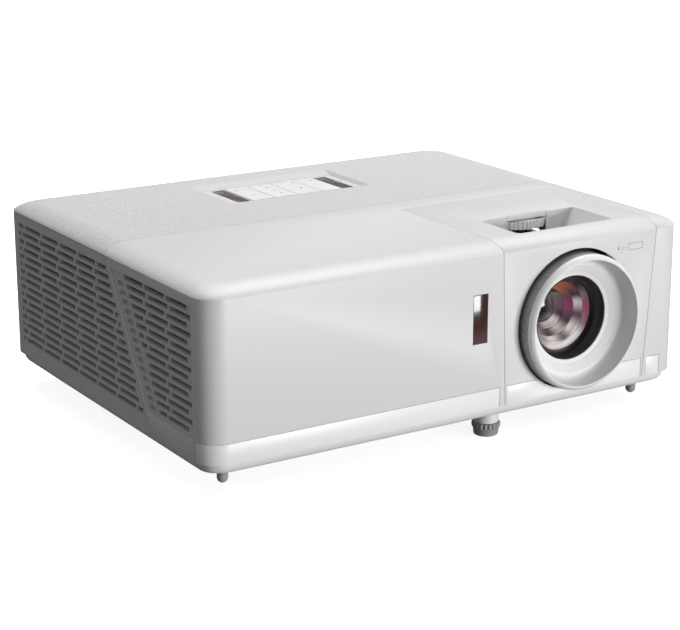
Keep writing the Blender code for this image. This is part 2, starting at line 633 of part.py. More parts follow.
def make_heat_sink():
    """Comb of upright fins on a common base."""
    right = FIN_START + (FIN_COUNT - 1) * FIN_PITCH + FIN_THICK
    comb = [(FIN_START, up(FIN_FOOT)), (right, up(FIN_FOOT))]
    for i in reversed(range(FIN_COUNT)):
        left = FIN_START + i * FIN_PITCH
        comb += [(left + FIN_THICK, up(FIN_TOP)), (left, up(FIN_TOP))]
        if i:
            comb += [(left, up(FIN_ROOT)), (left - FIN_PITCH + FIN_THICK, up(FIN_ROOT))]
    prism("heat_sink", 1, back(FIN_BACK[0]), back(FIN_BACK[1]), comb, [], ALLOY)


def make_modules():
    finishes = {"main_board": BOARD, "speaker": BLACK}
    for name, x, depth, height in MODULES:
        box(name, x, [back(d) for d in depth], [up(h) for h in height], finishes.get(name, ALLOY))
    make_heat_sink()
    x, depth, height = WHEEL_PLACE
    rotor = [(WHEEL_HUB_R, back(depth - 10.0)), (WHEEL_HUB_R, back(depth - 1.0)),
             (WHEEL_R, back(depth - 1.0)), (WHEEL_R, back(depth + 1.0))]
    turned_solid("phosphor_wheel", 1, (x, 0, up(height)), rotor, ALLOY, 24)
    for side, word in ((-1, "left"), (1, "right")):
        make_fan(side, word)


def set_origin(name, x, y, z):
    """Put a moving piece's origin on its joint's axis."""
    piece = bpy.data.objects[name]
    place = Vector((x, y, z)) * MM
    for vertex in piece.data.vertices:
        vertex.co -= place
    piece.location = place


def place_origins():
    for name in ("focus_ring", "lens_baffle", "lens_barrel", "front_glass", "rear_glass", "lens_carriage"):
        set_origin(name, LENS_X, FRONT, LENS_Z)
    set_origin("shift_dial", DIAL_X, back(DIAL_BACK), up(DIAL_H))
    for (x, y), word in zip(foot_places(), FOOT_WORDS):
        set_origin("foot_stem_" + word, x, y, 0)
        set_origin("foot_wheel_" + word, x, y, 0)
    for side, word in ((-1, "left"), (1, "right")):
        set_origin("fan_rotor_" + word, side * sum(FAN_X) / 2, back(FAN_BACK), up(FAN_H))
    set_origin("phosphor_wheel", WHEEL_PLACE[0], back(WHEEL_PLACE[1]), up(WHEEL_PLACE[2]))
    for number, (a, b) in enumerate(key_spans(), 1):
        set_origin("key_%d" % number, (a + b) / 2, back(sum(KEYPAD_BACK) / 2), up(BODY_H - DISH_DEEP))


def finish_meshes():
    for piece in bpy.data.objects:
        piece.data.shade_smooth()
        piece.data.set_sharp_from_angle(angle=math.radians(35))


make_covers()
make_bottom_case()
make_side_panels()
make_front_details()
make_keypad()
make_lens()
make_feet()
make_rear()
make_modules()
place_origins()
finish_meshes()
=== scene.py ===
import math

import bmesh
import bpy
from bpy.props import FloatProperty, FloatVectorProperty, IntProperty, PointerProperty
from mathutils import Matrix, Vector


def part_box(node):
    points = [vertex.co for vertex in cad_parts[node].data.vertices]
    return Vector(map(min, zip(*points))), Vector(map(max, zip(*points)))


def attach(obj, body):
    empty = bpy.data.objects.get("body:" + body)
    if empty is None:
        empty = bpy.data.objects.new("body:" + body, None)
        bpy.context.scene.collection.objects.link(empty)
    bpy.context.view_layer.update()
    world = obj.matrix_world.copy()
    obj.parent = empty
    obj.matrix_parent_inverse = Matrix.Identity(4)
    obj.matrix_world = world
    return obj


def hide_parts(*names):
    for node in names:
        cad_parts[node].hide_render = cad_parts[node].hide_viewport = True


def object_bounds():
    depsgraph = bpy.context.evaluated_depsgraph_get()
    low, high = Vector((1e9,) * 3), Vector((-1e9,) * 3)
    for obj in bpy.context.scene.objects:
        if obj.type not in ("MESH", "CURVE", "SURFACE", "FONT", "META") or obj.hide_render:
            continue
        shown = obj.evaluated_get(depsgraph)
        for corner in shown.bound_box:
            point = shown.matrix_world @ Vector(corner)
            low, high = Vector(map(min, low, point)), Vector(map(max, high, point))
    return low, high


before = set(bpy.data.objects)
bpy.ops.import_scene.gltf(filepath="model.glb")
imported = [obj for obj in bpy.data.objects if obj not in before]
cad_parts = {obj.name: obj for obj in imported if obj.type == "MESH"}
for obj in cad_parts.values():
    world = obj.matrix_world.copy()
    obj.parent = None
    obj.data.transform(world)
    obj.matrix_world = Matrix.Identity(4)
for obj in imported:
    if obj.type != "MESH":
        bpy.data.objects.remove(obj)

bl_info = {
    "name": "Home Projector",
    "version": (1, 0, 0),
    "blender": (4, 5, 0),
    "location": "View3D > Sidebar > Projector",
    "description": "Models the visible pieces of a home projector round its CAD frame",
    "category": "Object",
}

# Pieces are drawn in millimetres and brought to metres once, when each is finished.
MM = 0.001
CAD_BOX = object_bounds()

# ---- measures, in millimetres -------------------------------------------------------------
# x runs to the right; a distance back is behind the front face, a height above the underside.
BODY_W, BODY_D, BODY_H = 374.0, 296.5, 117.8
STAND = 16.3                     # the underside above the table
RING_PROUD = 12.0                # the focus ring in front of the front face
FRONT = CAD_BOX[0].y / MM + RING_PROUD
SIDE = BODY_W / 2
MIDDLE = FRONT + BODY_D / 2
REAR = FRONT + BODY_D
TOP = STAND + BODY_H
GAP = 0.4                        # between neighbouring pieces
REACH = 5.0                      # a cutting tool runs this far past a face, once or several times

WALL, CORNER_R, CORNER_STEPS = 2.5, 16.0, 10
CORE_WALL_H, CORE_ROOF_IN = 106.0, 17.0
EDGE_RUN, EDGE_RISE, EDGE_CUT, EDGE_STEPS = 20.0, 9.0, 1.0, 12
COVER_FOOT, CASE_INSET = 7.2, 3.0
# (inset, height) of the tray's rounded lower edge
CASE_PROFILE = ((7.0, 0.0), (5.9, 0.2), (4.8, 0.8), (4.0, 1.8), (3.4, 3.0), (3.1, 4.6), (CASE_INSET, 6.8))
TRAY_WALL, TRAY_FLOOR, TRAY_TOP = 6.0, 2.5, 12.0
# (radius, height) of the bracket screws sunk in the underside
UNDER_SCREW = ((0.0, 2.4), (1.5, 2.4), (1.6, 0.6), (3.4, 0.5), (3.8, 0.7), (3.9, 2.4))
UNDER_SCREW_X, UNDER_SCREW_BACK = (-120.0, 120.0), (60.0, 235.0)

SEAM_TOP, SEAM_CREASE, SEAM_SLOPE = 139.2, 134.5, 0.585
SIDE_TOP, SIDE_REAR = 111.2, 278.0
PANEL_TOP_X, PANEL_FOOT_X, PANEL_REAR = (33.0, 162.3), (36.7, 154.4), 118.3
STRIP_TOP, STRIP_DEEP, STRIP_ROOM, STRIP_PROUD = 20.6, 1.2, 0.3, 3.0
# Each length of the foot strip: its ends across, and how far it runs back round the corner
STRIP_LENGTHS = {
    "left": ((-SIDE - 10.0, 32.0), 14.5),
    "right": ((158.0, 169.8), 10.0),
    "panel": ((38.0, 153.0), 10.0),
}
DISH_X, DISH_BACK = 58.5, (197.8, 261.8)
DISH_FLAT_X, DISH_FLAT_BACK, DISH_DEEP, WELL_FOOT = 55.0, (202.3, 249.3), 2.0, 90.0
DIMPLE_STEP, DIMPLE_MARGIN = 1.65, 2.4     # half the pitch of the dimples, and the plain edge round them
IR_X, IR_H = (9.8, 20.8), (53.8, 86.4)
IR_TINT_H, IR_TINT_HALF = 70.0, 17.0

FRONT_GRILLE_H, FRONT_GRILLE_START, GRILLE_SINK, SEAM_LAND = (21.6, 105.0), 16.8, 1.0, 4.0
SLOT_ROWS, SLOT_PITCH, SLOT_TOP, SLOT_TALL = 16, 5.53, 103.0, 3.4
GROOVE_DEEP, GROOVE_LONG, GROOVE_END = 2.4, 9.0, 7.5
SHUTTER_IN, SHUTTER_THICK = 6.4, 1.2
SHUTTER_BACK, SHUTTER_H = (188.0, 262.0, 277.0), (16.0, 100.2, 106.0)

TUB_X, TUB_BACK, TUB_DEEP, TUB_WALL, TUB_CORNER = (54.5, 142.5), (18.3, 61.3), 15.6, 1.4, 3.5
DIAL_X, DIAL_R, TOOTH_DEEP = 98.6, 22.0, 1.5
MOUTH_HALF, MOUTH_DEEP = 17.0, 14.7        # the dial's mouth in the rear wall of the thumb recess
SLOT_RIGHT, SLOT_AHEAD = 22.0, 7.0         # the slot in the recess's floor under the dial

LENS_X, LENS_H = 94.8, 57.6
HOLE_R, HOLE_H = 48.4, 58.4
RING_R, RIB_FOOT_R, RIB_END = 46.6, 45.8, 7.6
# Outlines about the lens axis: (radius, distance in front of the front face)
RING_OUTLINE = (
    (RING_R, -13.8), (RING_R, -6.0), (RING_R, 7.4), (46.55, 8.4), (46.4, 9.2), (46.1, 10.0), (45.6, 10.7),
    (45.0, 11.25), (44.4, 11.7), (43.9, 11.95), (43.6, 12.0), (43.35, 11.9), (43.2, 11.5), (43.1, 10.4),
    (42.9, 8.2), (42.6, 5.8), (42.2, 3.6), (41.6, 1.8), (40.8, 0.4), (39.8, -0.6), (38.6, -1.2),
    (37.65, -1.4), (37.45, -1.7), (37.3, -1.75), (37.15, -1.45), (37.0, -1.55), (35.4, -2.5),
    (33.6, -3.5), (32.6, -4.05), (32.3, -4.3), (32.1, -4.45), (30.6, -5.0), (29.4, -5.35), (29.2, -5.5),
    (29.2, -7.2), (40.0, -7.2), (40.0, -13.8),
)
BAFFLE_OUTLINE = ((28.9, -16.0), (28.9, -5.9), (28.6, -5.7), (28.2, -5.9), (25.25, -11.8), (25.1, -12.2),
                  (25.1, -16.0))
BARREL_OUTLINE = ((38.8, -84.0), (38.8, -7.8), (29.3, -7.8), (29.3, -16.4), (25.1, -16.4), (25.1, -66.0),
                  (9.5, -66.0), (9.5, -84.0))
SEAL_OUTLINE = ((42.5, -15.0), (52.0, -15.0), (52.0, -16.4), (42.5, -16.4))
# Domes of the glass: radius, rise, steps and place of the rim
FRONT_DOME, FRONT_DOME_REAR = (24.8, 4.4, 12, -13.4), (24.8, 2.0, 8, -16.6)
PUPIL_DOME, PUPIL_REAR = (13.2, 5.0, 12, -38.5), -42.0
# Cells between the elements: rim radius, wide and narrow radius, and both ends
CELLS = {
    "amber": (25.0, 25.0, 21.6, -16.8, -20.2),
    "rose": (22.5, 21.5, 18.1, -20.6, -25.8),
    "violet": (19.0, 18.0, 14.2, -26.2, -31.6),
    "smoke": (15.1, 14.1, 10.6, -32.0, -36.4),
}

BUMPER_X, BUMPER_BACK, BUMPER_R, BUMPER_DROP = 164.4, 22.0, 3.6, 12.3
FEET = {"front": (33.6, 16.5), "rear_left": (-150.0, 270.0), "rear_right": (150.0, 270.0)}
WHEEL_H, STEM_R, NOTCH_SHARE = 8.7, 8.4, 0.91

# Printed sign: the screen's frame, the lens and the dots, as (x, height)
INK = 0.05
SIGN_X, SIGN_H, SIGN_LINE = (138.0, 150.5), (99.6, 104.4), 0.3
SIGN_LENS, SIGN_LENS_R, SIGN_LENS_SHARE, DOT_R = (129.3, 101.9), 1.7, 0.28, 0.35
SIGN_DOTS = ((131.8, 102.6), (133.4, 102.6), (131.8, 101.2), (133.4, 101.2), (135.4, 102.0), (131.6, 99.0),
             (133.0, 99.0))
# Printed key marks: x, distance back, half width, half depth
KEY_MARKS = {
    1: ((-33.0, 236.9, 1.0, 1.0), (-24.5, 237.3, 1.0, 0.6), (-29.0, 217.3, 1.4, 0.5)),
    2: ((-8.5, 243.0, 0.9, 0.5), (-8.3, 234.3, 0.9, 0.7), (-8.0, 223.8, 0.9, 0.7), (-7.8, 214.3, 0.8, 0.8)),
    3: ((6.4, 239.3, 1.0, 0.5), (16.0, 238.8, 1.1, 0.9), (12.3, 220.3, 1.5, 1.0)),
    4: ((31.8, 238.3, 1.2, 0.5),),
}
STATUS_X, STATUS_BACK = 51.5, 227.3
KEY_INSET, KEY_FALL = 0.7, 0.35

IO_X, IO_H, IO_SINK, IO_MID = (-152.0, 152.0), (13.0, 64.0), 3.0, 40.0
IO_FACE = REAR - IO_SINK
IO_FLOOR = IO_FACE - 8.7                   # the bottom of the sockets
USB_X, LAN_X, VIDEO_X, SERIAL_X = 72.0, 50.0, 18.0, -18.0
# Contact carriers: x, half width, bottom and top about the sockets' middle
CARRIERS = ((118.0, 5.6, 0.1, 1.5), (94.0, 5.6, 0.1, 1.5), (USB_X, 5.8, 0.5, 2.3))
LAN_PITCH, USB_PITCH, VIDEO_PITCH, SERIAL_PITCH = 1.27, 2.4, 2.3, 2.77
INSERT_HALF_W, INSERT_HALF_H = 8.6, 4.2
INLET_BLADES = ((-131.0, -1.0), (-117.0, -1.0), (-124.0, 3.2))
POST_X, SCREW_X, SCREW_H, SCREW_R = (2.0, 34.0, -34.0, -2.0), (-147.0, -88.0, 147.0), (18.0, 59.0), 2.6

# ---- the stage, in metres and degrees -----------------------------------------------------
FLOOR_SIZE, WALL_HEIGHT, SWEEP_R = 24.0, 10.0, 2.0
PAPER_GLOW = 0.8
AIR_ABOVE, AIR_BELOW = 0.27, 0.09          # brightness of the air over and under the object
CAMERA_PLACE = (-0.68936, -1.09383, 0.43376)
CAMERA_AZIMUTH, CAMERA_ELEVATION = -32.255, 15.982
CAMERA_LENS, CAMERA_SHIFT = 100.69, (-0.00668, -0.01341)
# name, place, aimed at, size, watts
STUDIO_LIGHTS = (
    ("front_softbox", (1.5, -3.5, 0.05), (0.0, -0.1, 0.07), (1.5, 1.2), 104.0),
    ("top_softbox", (1.0, 1.3, 2.8), (0.0, 0.0, 0.1), (2.2, 2.2), 88.0),
)


def back(distance):
    """y of a point this far behind the front face."""
    return FRONT + distance


def up(height):
    """z of a point this far above the casing's underside."""
    return STAND + height


def backs(near, far, grow=0.0):
    """Limits along y of a span behind the front face, moved apart by a margin."""
    return back(near) - grow, back(far) + grow


def ups(low, high, grow=0.0):
    """Limits along z of a span above the underside, moved apart by a margin."""
    return up(low) - grow, up(high) + grow


def grown(pair, by):
    """Two limits moved apart by a margin at each end."""
    return pair[0] - by, pair[1] + by


LENS_CENTRE = (LENS_X, FRONT, up(LENS_H))


# ---- user settings ------------------------------------------------------------------------
def linear(code):
    """An sRGB hex colour as linear red, green and blue."""
    parts = [int(code[i:i + 2], 16) / 255 for i in (1, 3, 5)]
    return tuple(p / 12.92 if p <= 0.04045 else ((p + 0.055) / 1.055) ** 2.4 for p in parts)


def colour_setting(name, description, code):
    return FloatVectorProperty(name=name, description=description, subtype='COLOR', size=3,
                               min=0.0, max=1.0, default=linear(code))


class ProjectorSizes(bpy.types.PropertyGroup):
    edge_softness: FloatProperty(name="Edge softness", description="Rounding of the moulded edges",
                                 default=0.0003, min=0.0001, max=0.001, unit='LENGTH')
    dimple_depth: FloatProperty(name="Dimple depth", description="Depth of the rear cover's dimples",
                                default=0.00045, min=0.0, max=0.0008, unit='LENGTH')
    ring_ribs: IntProperty(name="Ring ribs", description="Ribs round the focus ring",
                           default=180, min=60, max=300)
    dial_teeth: IntProperty(name="Dial teeth", description="Teeth round the lens shift dial",
                            default=44, min=12, max=96)
    foot_notches: IntProperty(name="Foot notches", description="Notches round each foot wheel",
                              default=20, min=8, max=40)


class ProjectorColours(bpy.types.PropertyGroup):
    casing: colour_setting("Casing", "White of the covers", "#e6e6e6")
    rear: colour_setting("Rear cover", "White of the dimpled rear cover", "#dadada")
    # The rear cover's white is the casing's darkened a little: painted shade on the rear top.
    trim: colour_setting("Trim", "Lighter white of the foot strip", "#f7f7f7")
    grille: colour_setting("Grilles", "White of the side grilles", "#dcdcdc")
    keys: colour_setting("Keys", "White of the keys", "#fbfbfb")
    window: colour_setting("Windows", "Smoked brown of the windows", "#2b1717")
    ring: colour_setting("Ring grip", "Grey of the focus ring's ribs", "#b0b0b0")


# ---- modelling helpers --------------------------------------------------------------------
def rest():
    """Go to object mode with nothing selected."""
    if bpy.context.mode != 'OBJECT':
        bpy.ops.object.mode_set(mode='OBJECT')
    bpy.ops.object.select_all(action='DESELECT')


def hold(piece):
    """Select one piece alone."""
    rest()
    piece.select_set(True)
    bpy.context.view_layer.objects.active = piece


def edit(piece, mode='VERT'):
    """Open a piece for editing with nothing selected on it."""
    hold(piece)
    bpy.ops.object.mode_set(mode='EDIT')
    bpy.ops.mesh.select_mode(type=mode)
    bpy.ops.mesh.select_all(action='DESELECT')


def pick(piece, kind, test):
    """Select the verts, edges, faces or quads of the edited piece whose middle passes the test."""
    shape = bmesh.from_edit_mesh(piece.data)
    parts = getattr(shape, "faces" if kind == "quads" else kind)
    for part in parts:
        if kind == "quads" and len(part.verts) != 4:
            continue
        if kind == "verts":
            middle = part.co
        elif kind == "edges":
            middle = (part.verts[0].co + part.verts[1].co) / 2
        else:
            middle = part.calc_center_median()
        part.select_set(bool(test(middle)))
    shape.select_flush_mode()
    bmesh.update_edit_mesh(piece.data)


def keep_place():
    """Move the active piece's place, turn and scale into its mesh."""
    bpy.ops.object.transform_apply(location=True, rotation=True, scale=True)


def block(x, y, z):
    """Add a block between two values along each axis."""
    rest()
    middle = [sum(pair) / 2 for pair in (x, y, z)]
    size = [pair[1] - pair[0] for pair in (x, y, z)]
    bpy.ops.mesh.primitive_cube_add(size=1, location=middle, scale=size)
    keep_place()
    return bpy.context.object


def outline_block(axis, start, end, outline):
    """Add an outline as a filled ring and extrude it along an axis."""
    rest()
    bpy.ops.mesh.primitive_circle_add(vertices=len(outline), fill_type='NGON')
    piece = bpy.context.object
    edit(piece)
    shape = bmesh.from_edit_mesh(piece.data)
    for vertex, point in zip(shape.verts, outline):
        place = list(point)
        place.insert(axis, start)
        vertex.co = place
    bmesh.update_edit_mesh(piece.data)
    bpy.ops.mesh.select_all(action='SELECT')
    run = [0.0, 0.0, 0.0]
    run[axis] = end - start
    bpy.ops.mesh.extrude_region_move(TRANSFORM_OT_translate={"value": run})
    make_outward()
    rest()
    return piece


def make_outward():
    """Turn every face of the edited piece outwards."""
    bpy.ops.mesh.select_all(action='SELECT')
    bpy.ops.mesh.normals_make_consistent(inside=False)


def turned(axis, centre, outline, steps=96):
    """Spin a closed outline of (radius, place along the axis) points about an axis."""
    rest()
    bpy.ops.mesh.primitive_circle_add(vertices=len(outline), fill_type='NOTHING')
    piece = bpy.context.object
    edit(piece)
    shape = bmesh.from_edit_mesh(piece.data)
    out = (axis + 1) % 3
    for vertex, (radius, along) in zip(shape.verts, outline):
        place = list(centre)
        place[out] += radius
        place[axis] = along
        vertex.co = place
    bmesh.update_edit_mesh(piece.data)
    bpy.ops.mesh.select_all(action='SELECT')
    line = [0.0, 0.0, 0.0]
    line[axis] = 1.0
    bpy.ops.mesh.spin(steps=steps, angle=2 * math.pi, center=centre, axis=line)
    bpy.ops.mesh.select_all(action='SELECT')
    bpy.ops.mesh.remove_doubles(threshold=0.002)
    make_outward()
    rest()
    return piece


def rod(axis, centre, radius, start, end, steps=32):
    """Add a plain cylinder about an axis."""
    return turned(axis, centre, [(0.0, start), (radius, start), (radius, end), (0.0, end)], steps)


def stretch(piece, share, centre):
    """Scale a whole piece about a point."""
    edit(piece)
    bpy.ops.mesh.select_all(action='SELECT')
    bpy.ops.transform.resize(value=share, center_override=centre)
    rest()
    return piece


def press_columns(piece, axis, centre, columns, share, pressed):
    """Draw in the corners of a turned piece that pass the test (radius, place along, column)."""
    edit(piece)
    first, second = [i for i in range(3) if i != axis]
    turn = 2 * math.pi / columns

    def is_pressed(place):
        u, v = place[first] - centre[first], place[second] - centre[second]
        return pressed(math.hypot(u, v), place[axis], round(math.atan2(v, u) / turn))

    pick(piece, "verts", is_pressed)
    shares = [share, share, share]
    shares[axis] = 1.0
    bpy.ops.transform.resize(value=shares, center_override=centre)
    rest()
    return piece


def cut(piece, tool, operation='DIFFERENCE'):
    """Cut, join or trim a piece with a tool, which is used up."""
    hold(piece)
    bpy.ops.object.modifier_add(type='BOOLEAN')
    modifier = piece.modifiers[-1]
    modifier.operation = operation
    modifier.solver = 'EXACT'
    modifier.object = tool
    bpy.ops.object.modifier_apply(modifier=modifier.name)
    bpy.data.objects.remove(tool, do_unlink=True)
    return piece


def soften(piece, width, segments=2, sharp=35.0):
    """Round every sharp edge of a piece."""
    edit(piece, 'EDGE')
    bpy.ops.mesh.select_all(action='SELECT')
    bpy.ops.mesh.remove_doubles(threshold=0.01)
    bpy.ops.mesh.dissolve_limited(angle_limit=math.radians(0.5))
    bpy.ops.mesh.select_all(action='DESELECT')
    bpy.ops.mesh.edges_select_sharp(sharpness=math.radians(sharp))
    bpy.ops.mesh.bevel(offset=width, segments=segments, affect='EDGES', clamp_overlap=True)
    rest()
    return piece


def duplicate(piece):
    """Copy a piece with a mesh of its own."""
    hold(piece)
    bpy.ops.object.duplicate(linked=False)
    return bpy.context.object


def copies(piece, places):
    """Copies of a piece moved by each of the places, with meshes of their own; the piece is used up."""
    made = []
    for place in places:
        copy = duplicate(piece)
        copy.location = place
        keep_place()
        made.append(copy)
    bpy.data.objects.remove(piece, do_unlink=True)
    return made


def join(pieces):
    """Make several pieces one."""
    hold(pieces[0])
    for piece in pieces:
        piece.select_set(True)
    bpy.ops.object.join()
    return bpy.context.object


def node_copy(node):
    """A CAD node's shape as a new piece in millimetres, its loose triangles merged."""
    rest()
    piece = bpy.data.objects.new(node + "_copy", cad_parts[node].data.copy())
    bpy.context.collection.objects.link(piece)
    hold(piece)
    piece.scale = (1 / MM,) * 3
    keep_place()
    bpy.ops.mesh.customdata_custom_splitnormals_clear()
    edit(piece)
    bpy.ops.mesh.select_all(action='SELECT')
    bpy.ops.mesh.remove_doubles(threshold=0.01)
    bpy.ops.mesh.dissolve_limited(angle_limit=math.radians(0.5))
    rest()
    return piece


def finish(piece, name, body, coat, replaces=(), angle=35.0):
    """Bring a piece to metres, smooth it, give it its finish and let it ride on its body.

    A piece that already has its finishes is given no coat."""
    hold(piece)
    piece.name = name
    piece.data.name = name
    piece.scale = (MM,) * 3
    keep_place()
    bpy.ops.object.shade_smooth_by_angle(angle=math.radians(angle), keep_sharp_edges=False)
    if coat:
        piece.data.materials.clear()
        piece.data.materials.append(FINISH[coat])
    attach(piece, body)
    if replaces:
        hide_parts(*replaces)
    return piece


def softened_node(node, width, coat):
    """Show a CAD node as a merged copy with rounded edges."""
    piece = soften(node_copy(node), width)
    return finish(piece, node + "_moulding", "housing", coat, [node])


# ---- finishes -----------------------------------------------------------------------------
def add_node(tree, kind, settings=None, links=None):
    """Add a node with its settings and the sockets that feed it."""
    node = tree.nodes.new(kind)
    for key, value in (settings or {}).items():
        if key in node.inputs:
            node.inputs[key].default_value = value
        else:
            setattr(node, key, value)
    for key, source in (links or {}).items():
        tree.links.new(source, node.inputs[key])
    return node


def new_finish(name, colour, roughness, metallic=0.0, **sockets):
    """A shader with its plain values; patterns are added to it afterwards."""
    material = bpy.data.materials.new(name)
    material.use_nodes = True
    shader = material.node_tree.nodes["Principled BSDF"]
    shader.inputs["Base Color"].default_value = (*colour, 1.0)
    shader.inputs["Roughness"].default_value = roughness
    shader.inputs["Metallic"].default_value = metallic
    for socket, value in sockets.items():
        shader.inputs[socket.replace("_", " ")].default_value = value
    return material


FINISH = {}


def grained(key, name, colour, roughness, size, depth, spread, metallic=0.0,
            stretch_by=(1.0, 1.0, 1.0), **sockets):
    """Keep a finish with a grain: its size and depth in millimetres, its roughness over a spread."""
    material = new_finish(name, colour, roughness, metallic, **sockets)
    tree = material.node_tree
    shader = tree.nodes["Principled BSDF"]
    place = add_node(tree, "ShaderNodeTexCoord")
    turn = add_node(tree, "ShaderNodeMapping", {"Scale": stretch_by}, {"Vector": place.outputs["Object"]})
    noise = add_node(tree, "ShaderNodeTexNoise",
                     {"Scale": 1 / (size * MM), "Detail": 3.0, "Roughness": 0.6},
                     {"Vector": turn.outputs["Vector"]})
    rough = add_node(tree, "ShaderNodeMapRange",
                     {"From Min": 0.3, "From Max": 0.7, "To Min": spread[0], "To Max": spread[1]},
                     {"Value": noise.outputs["Fac"]})
    bump = add_node(tree, "ShaderNodeBump", {"Strength": 0.6, "Distance": depth * MM},
                    {"Height": noise.outputs["Fac"]})
    tree.links.new(rough.outputs["Result"], shader.inputs["Roughness"])
    tree.links.new(bump.outputs["Normal"], shader.inputs["Normal"])
    FINISH[key] = material


def set_stops(ramp, stops):
    """Give a colour ramp its stops, each a place and a hex colour."""
    elements = ramp.color_ramp.elements
    while len(elements) < len(stops):
        elements.new(0.5)
    for element, (place, code) in zip(elements, stops):
        element.position = place
        element.color = (*linear(code), 1.0)


def height_tint(material, centre, half, stops):
    """Shade a finish's colour by height about a centre, in millimetres."""
    tree = material.node_tree
    place = add_node(tree, "ShaderNodeTexCoord")
    split = add_node(tree, "ShaderNodeSeparateXYZ", {}, {"Vector": place.outputs["Object"]})
    span = add_node(tree, "ShaderNodeMapRange",
                    {"From Min": (centre - half) * MM, "From Max": (centre + half) * MM},
                    {"Value": split.outputs["Z"]})
    ramp = add_node(tree, "ShaderNodeValToRGB", {}, {"Fac": span.outputs["Result"]})
    set_stops(ramp, stops)
    tree.links.new(ramp.outputs["Color"], tree.nodes["Principled BSDF"].inputs["Base Color"])
    return material


def paint_reflections_by_angle(material, stops):
    """Paint reflections, glints and glow into a finish by the angle round the lens axis: the stops run
    from the left by way of the foot, at a quarter, to the right, at a half, and the top, at three quarters."""
    tree = material.node_tree
    place = add_node(tree, "ShaderNodeTexCoord")
    upright = add_node(tree, "ShaderNodeMapping",
                       {"Location": (-LENS_X * MM, -up(LENS_H) * MM, 0.0),
                        "Rotation": (-math.pi / 2, 0.0, 0.0)},
                       {"Vector": place.outputs["Object"]})
    sweep = add_node(tree, "ShaderNodeTexGradient", {"gradient_type": 'RADIAL'},
                     {"Vector": upright.outputs["Vector"]})
    ramp = add_node(tree, "ShaderNodeValToRGB", {}, {"Fac": sweep.outputs["Fac"]})
    ramp.color_ramp.interpolation = 'EASE'
    set_stops(ramp, stops)
    # The painted reflections drive both the colour and the glow.
    for socket in ("Base Color", "Emission Color"):
        tree.links.new(ramp.outputs["Color"], tree.nodes["Principled BSDF"].inputs[socket])
    return material


def make_finishes():
    """Make every finish; the casing's own colours come from the settings."""
    colours = bpy.context.scene.projector_colours
    make_white_finishes(colours)
    make_dark_finishes(colours)
    make_metal_finishes()
    make_ink_finishes()
    make_lens_finishes()


def make_white_finishes(colours):
    # Moulded ABS with a fine spark-eroded grain: a soft, even sheen with no mirror.  The 0.05 mm
    # grain is drawn at 0.5 mm, so that it shows at all.
    grained("satin_abs", "satin_moulded_abs", colours.casing, 0.45, 0.5, 0.012, (0.40, 0.52))
    # The rear cover is the same ABS from a duller tool, so its dimples stay matt; its white is drawn a
    # shade darker than the casing's, as painted shade on the rear top.
    grained("dimpled_abs", "dull_dimpled_abs", colours.rear, 0.55, 0.5, 0.012, (0.50, 0.62))
    # The foot strip is polished a little more and is a lighter white.
    grained("trim_abs", "smooth_trim_abs", colours.trim, 0.35, 0.6, 0.006, (0.30, 0.42))
    # Grilles are moulded in one with their louvres, matt so that the bars stay even.
    grained("grille_abs", "matt_grille_abs", colours.grille, 0.55, 0.5, 0.012, (0.50, 0.62))
    # Keys are a whiter, smoother moulding that fingers keep clean.
    grained("key_abs", "smooth_key_abs", colours.keys, 0.38, 0.6, 0.004, (0.33, 0.44))
    # The focus ring's bowl is a smooth, whiter ABS that throws light on the glass.
    grained("ring_abs", "smooth_ring_abs", linear("#f4f4f4"), 0.4, 0.5, 0.008, (0.35, 0.46))


def make_dark_finishes(colours):
    # Smoked acrylic: almost black with a brown-red depth, paler at its foot, and a wet gloss.
    FINISH["smoked_acrylic"] = height_tint(
        new_finish("gloss_smoked_acrylic", colours.window, 0.16, Coat_Weight=0.3, Coat_Roughness=0.05),
        up(IR_TINT_H), IR_TINT_HALF, ((0.0, "#67504c"), (0.35, "#452b2a"), (1.0, "#351e1e")))
    # The status windows are a thinner, browner sheet of it.
    grained("window_acrylic", "gloss_window_acrylic", linear("#5d4b49"), 0.2, 0.8, 0.002, (0.15, 0.25),
            Coat_Weight=0.3)
    # The grip's ribs are grey ABS, darker than the casing.
    grained("grip_abs", "ribbed_grip_abs", colours.ring, 0.5, 0.4, 0.010, (0.45, 0.58))
    # Black ABS and black anodised barrels soak up stray light.
    grained("black_abs", "matt_black_abs", linear("#161616"), 0.5, 0.4, 0.010, (0.42, 0.6))
    grained("lens_black", "anodised_lens_black", linear("#1c1b1b"), 0.32, 0.3, 0.003, (0.28, 0.4))
    # Mid grey ABS for the foot wheels and the shutters, and grey lacquer on the rear panel.
    grained("grey_abs", "matt_grey_abs", linear("#9c9c9e"), 0.5, 0.4, 0.010, (0.45, 0.58))
    grained("panel_grey", "printed_panel_grey", linear("#c4c5c7"), 0.5, 0.5, 0.010, (0.45, 0.58))
    # Moulded grey rubber: dull, with a faint bloom.
    grained("rubber", "moulded_grey_rubber", linear("#a4a4a4"), 0.6, 0.4, 0.015, (0.68, 0.85),
            Sheen_Weight=0.1)


def make_metal_finishes():
    # Die-cast aluminium with the pebbled skin of the mould; its colour is darkened as painted shade, so the
    # modules behind the slots read dark.
    grained("cast_aluminium", "die_cast_aluminium", linear("#6f7173"), 0.5, 0.8, 0.03, (0.38, 0.55), 1.0)
    # Nickel plating on drawn steel: bright with fine drawing lines along the shell.
    grained("nickel", "nickel_plated_steel", linear("#c9c7c2"), 0.25, 0.3, 0.003, (0.2, 0.34), 1.0,
            (1.0, 0.1, 1.0))
    # A flash of gold on the contacts: warm, bright and smooth.
    grained("gold", "gold_plated_contact", linear("#d8b25c"), 0.25, 0.3, 0.002, (0.2, 0.32), 1.0)
    # The video socket's insert is a satin blue moulding.
    grained("port_blue", "moulded_blue_insert", linear("#23407e"), 0.45, 0.4, 0.006, (0.4, 0.52))
    # Solder mask is a glossy green lacquer that rides over the tracks below it.
    grained("solder_mask", "green_solder_mask", linear("#1e6a3c"), 0.3, 2.0, 0.03, (0.25, 0.4))


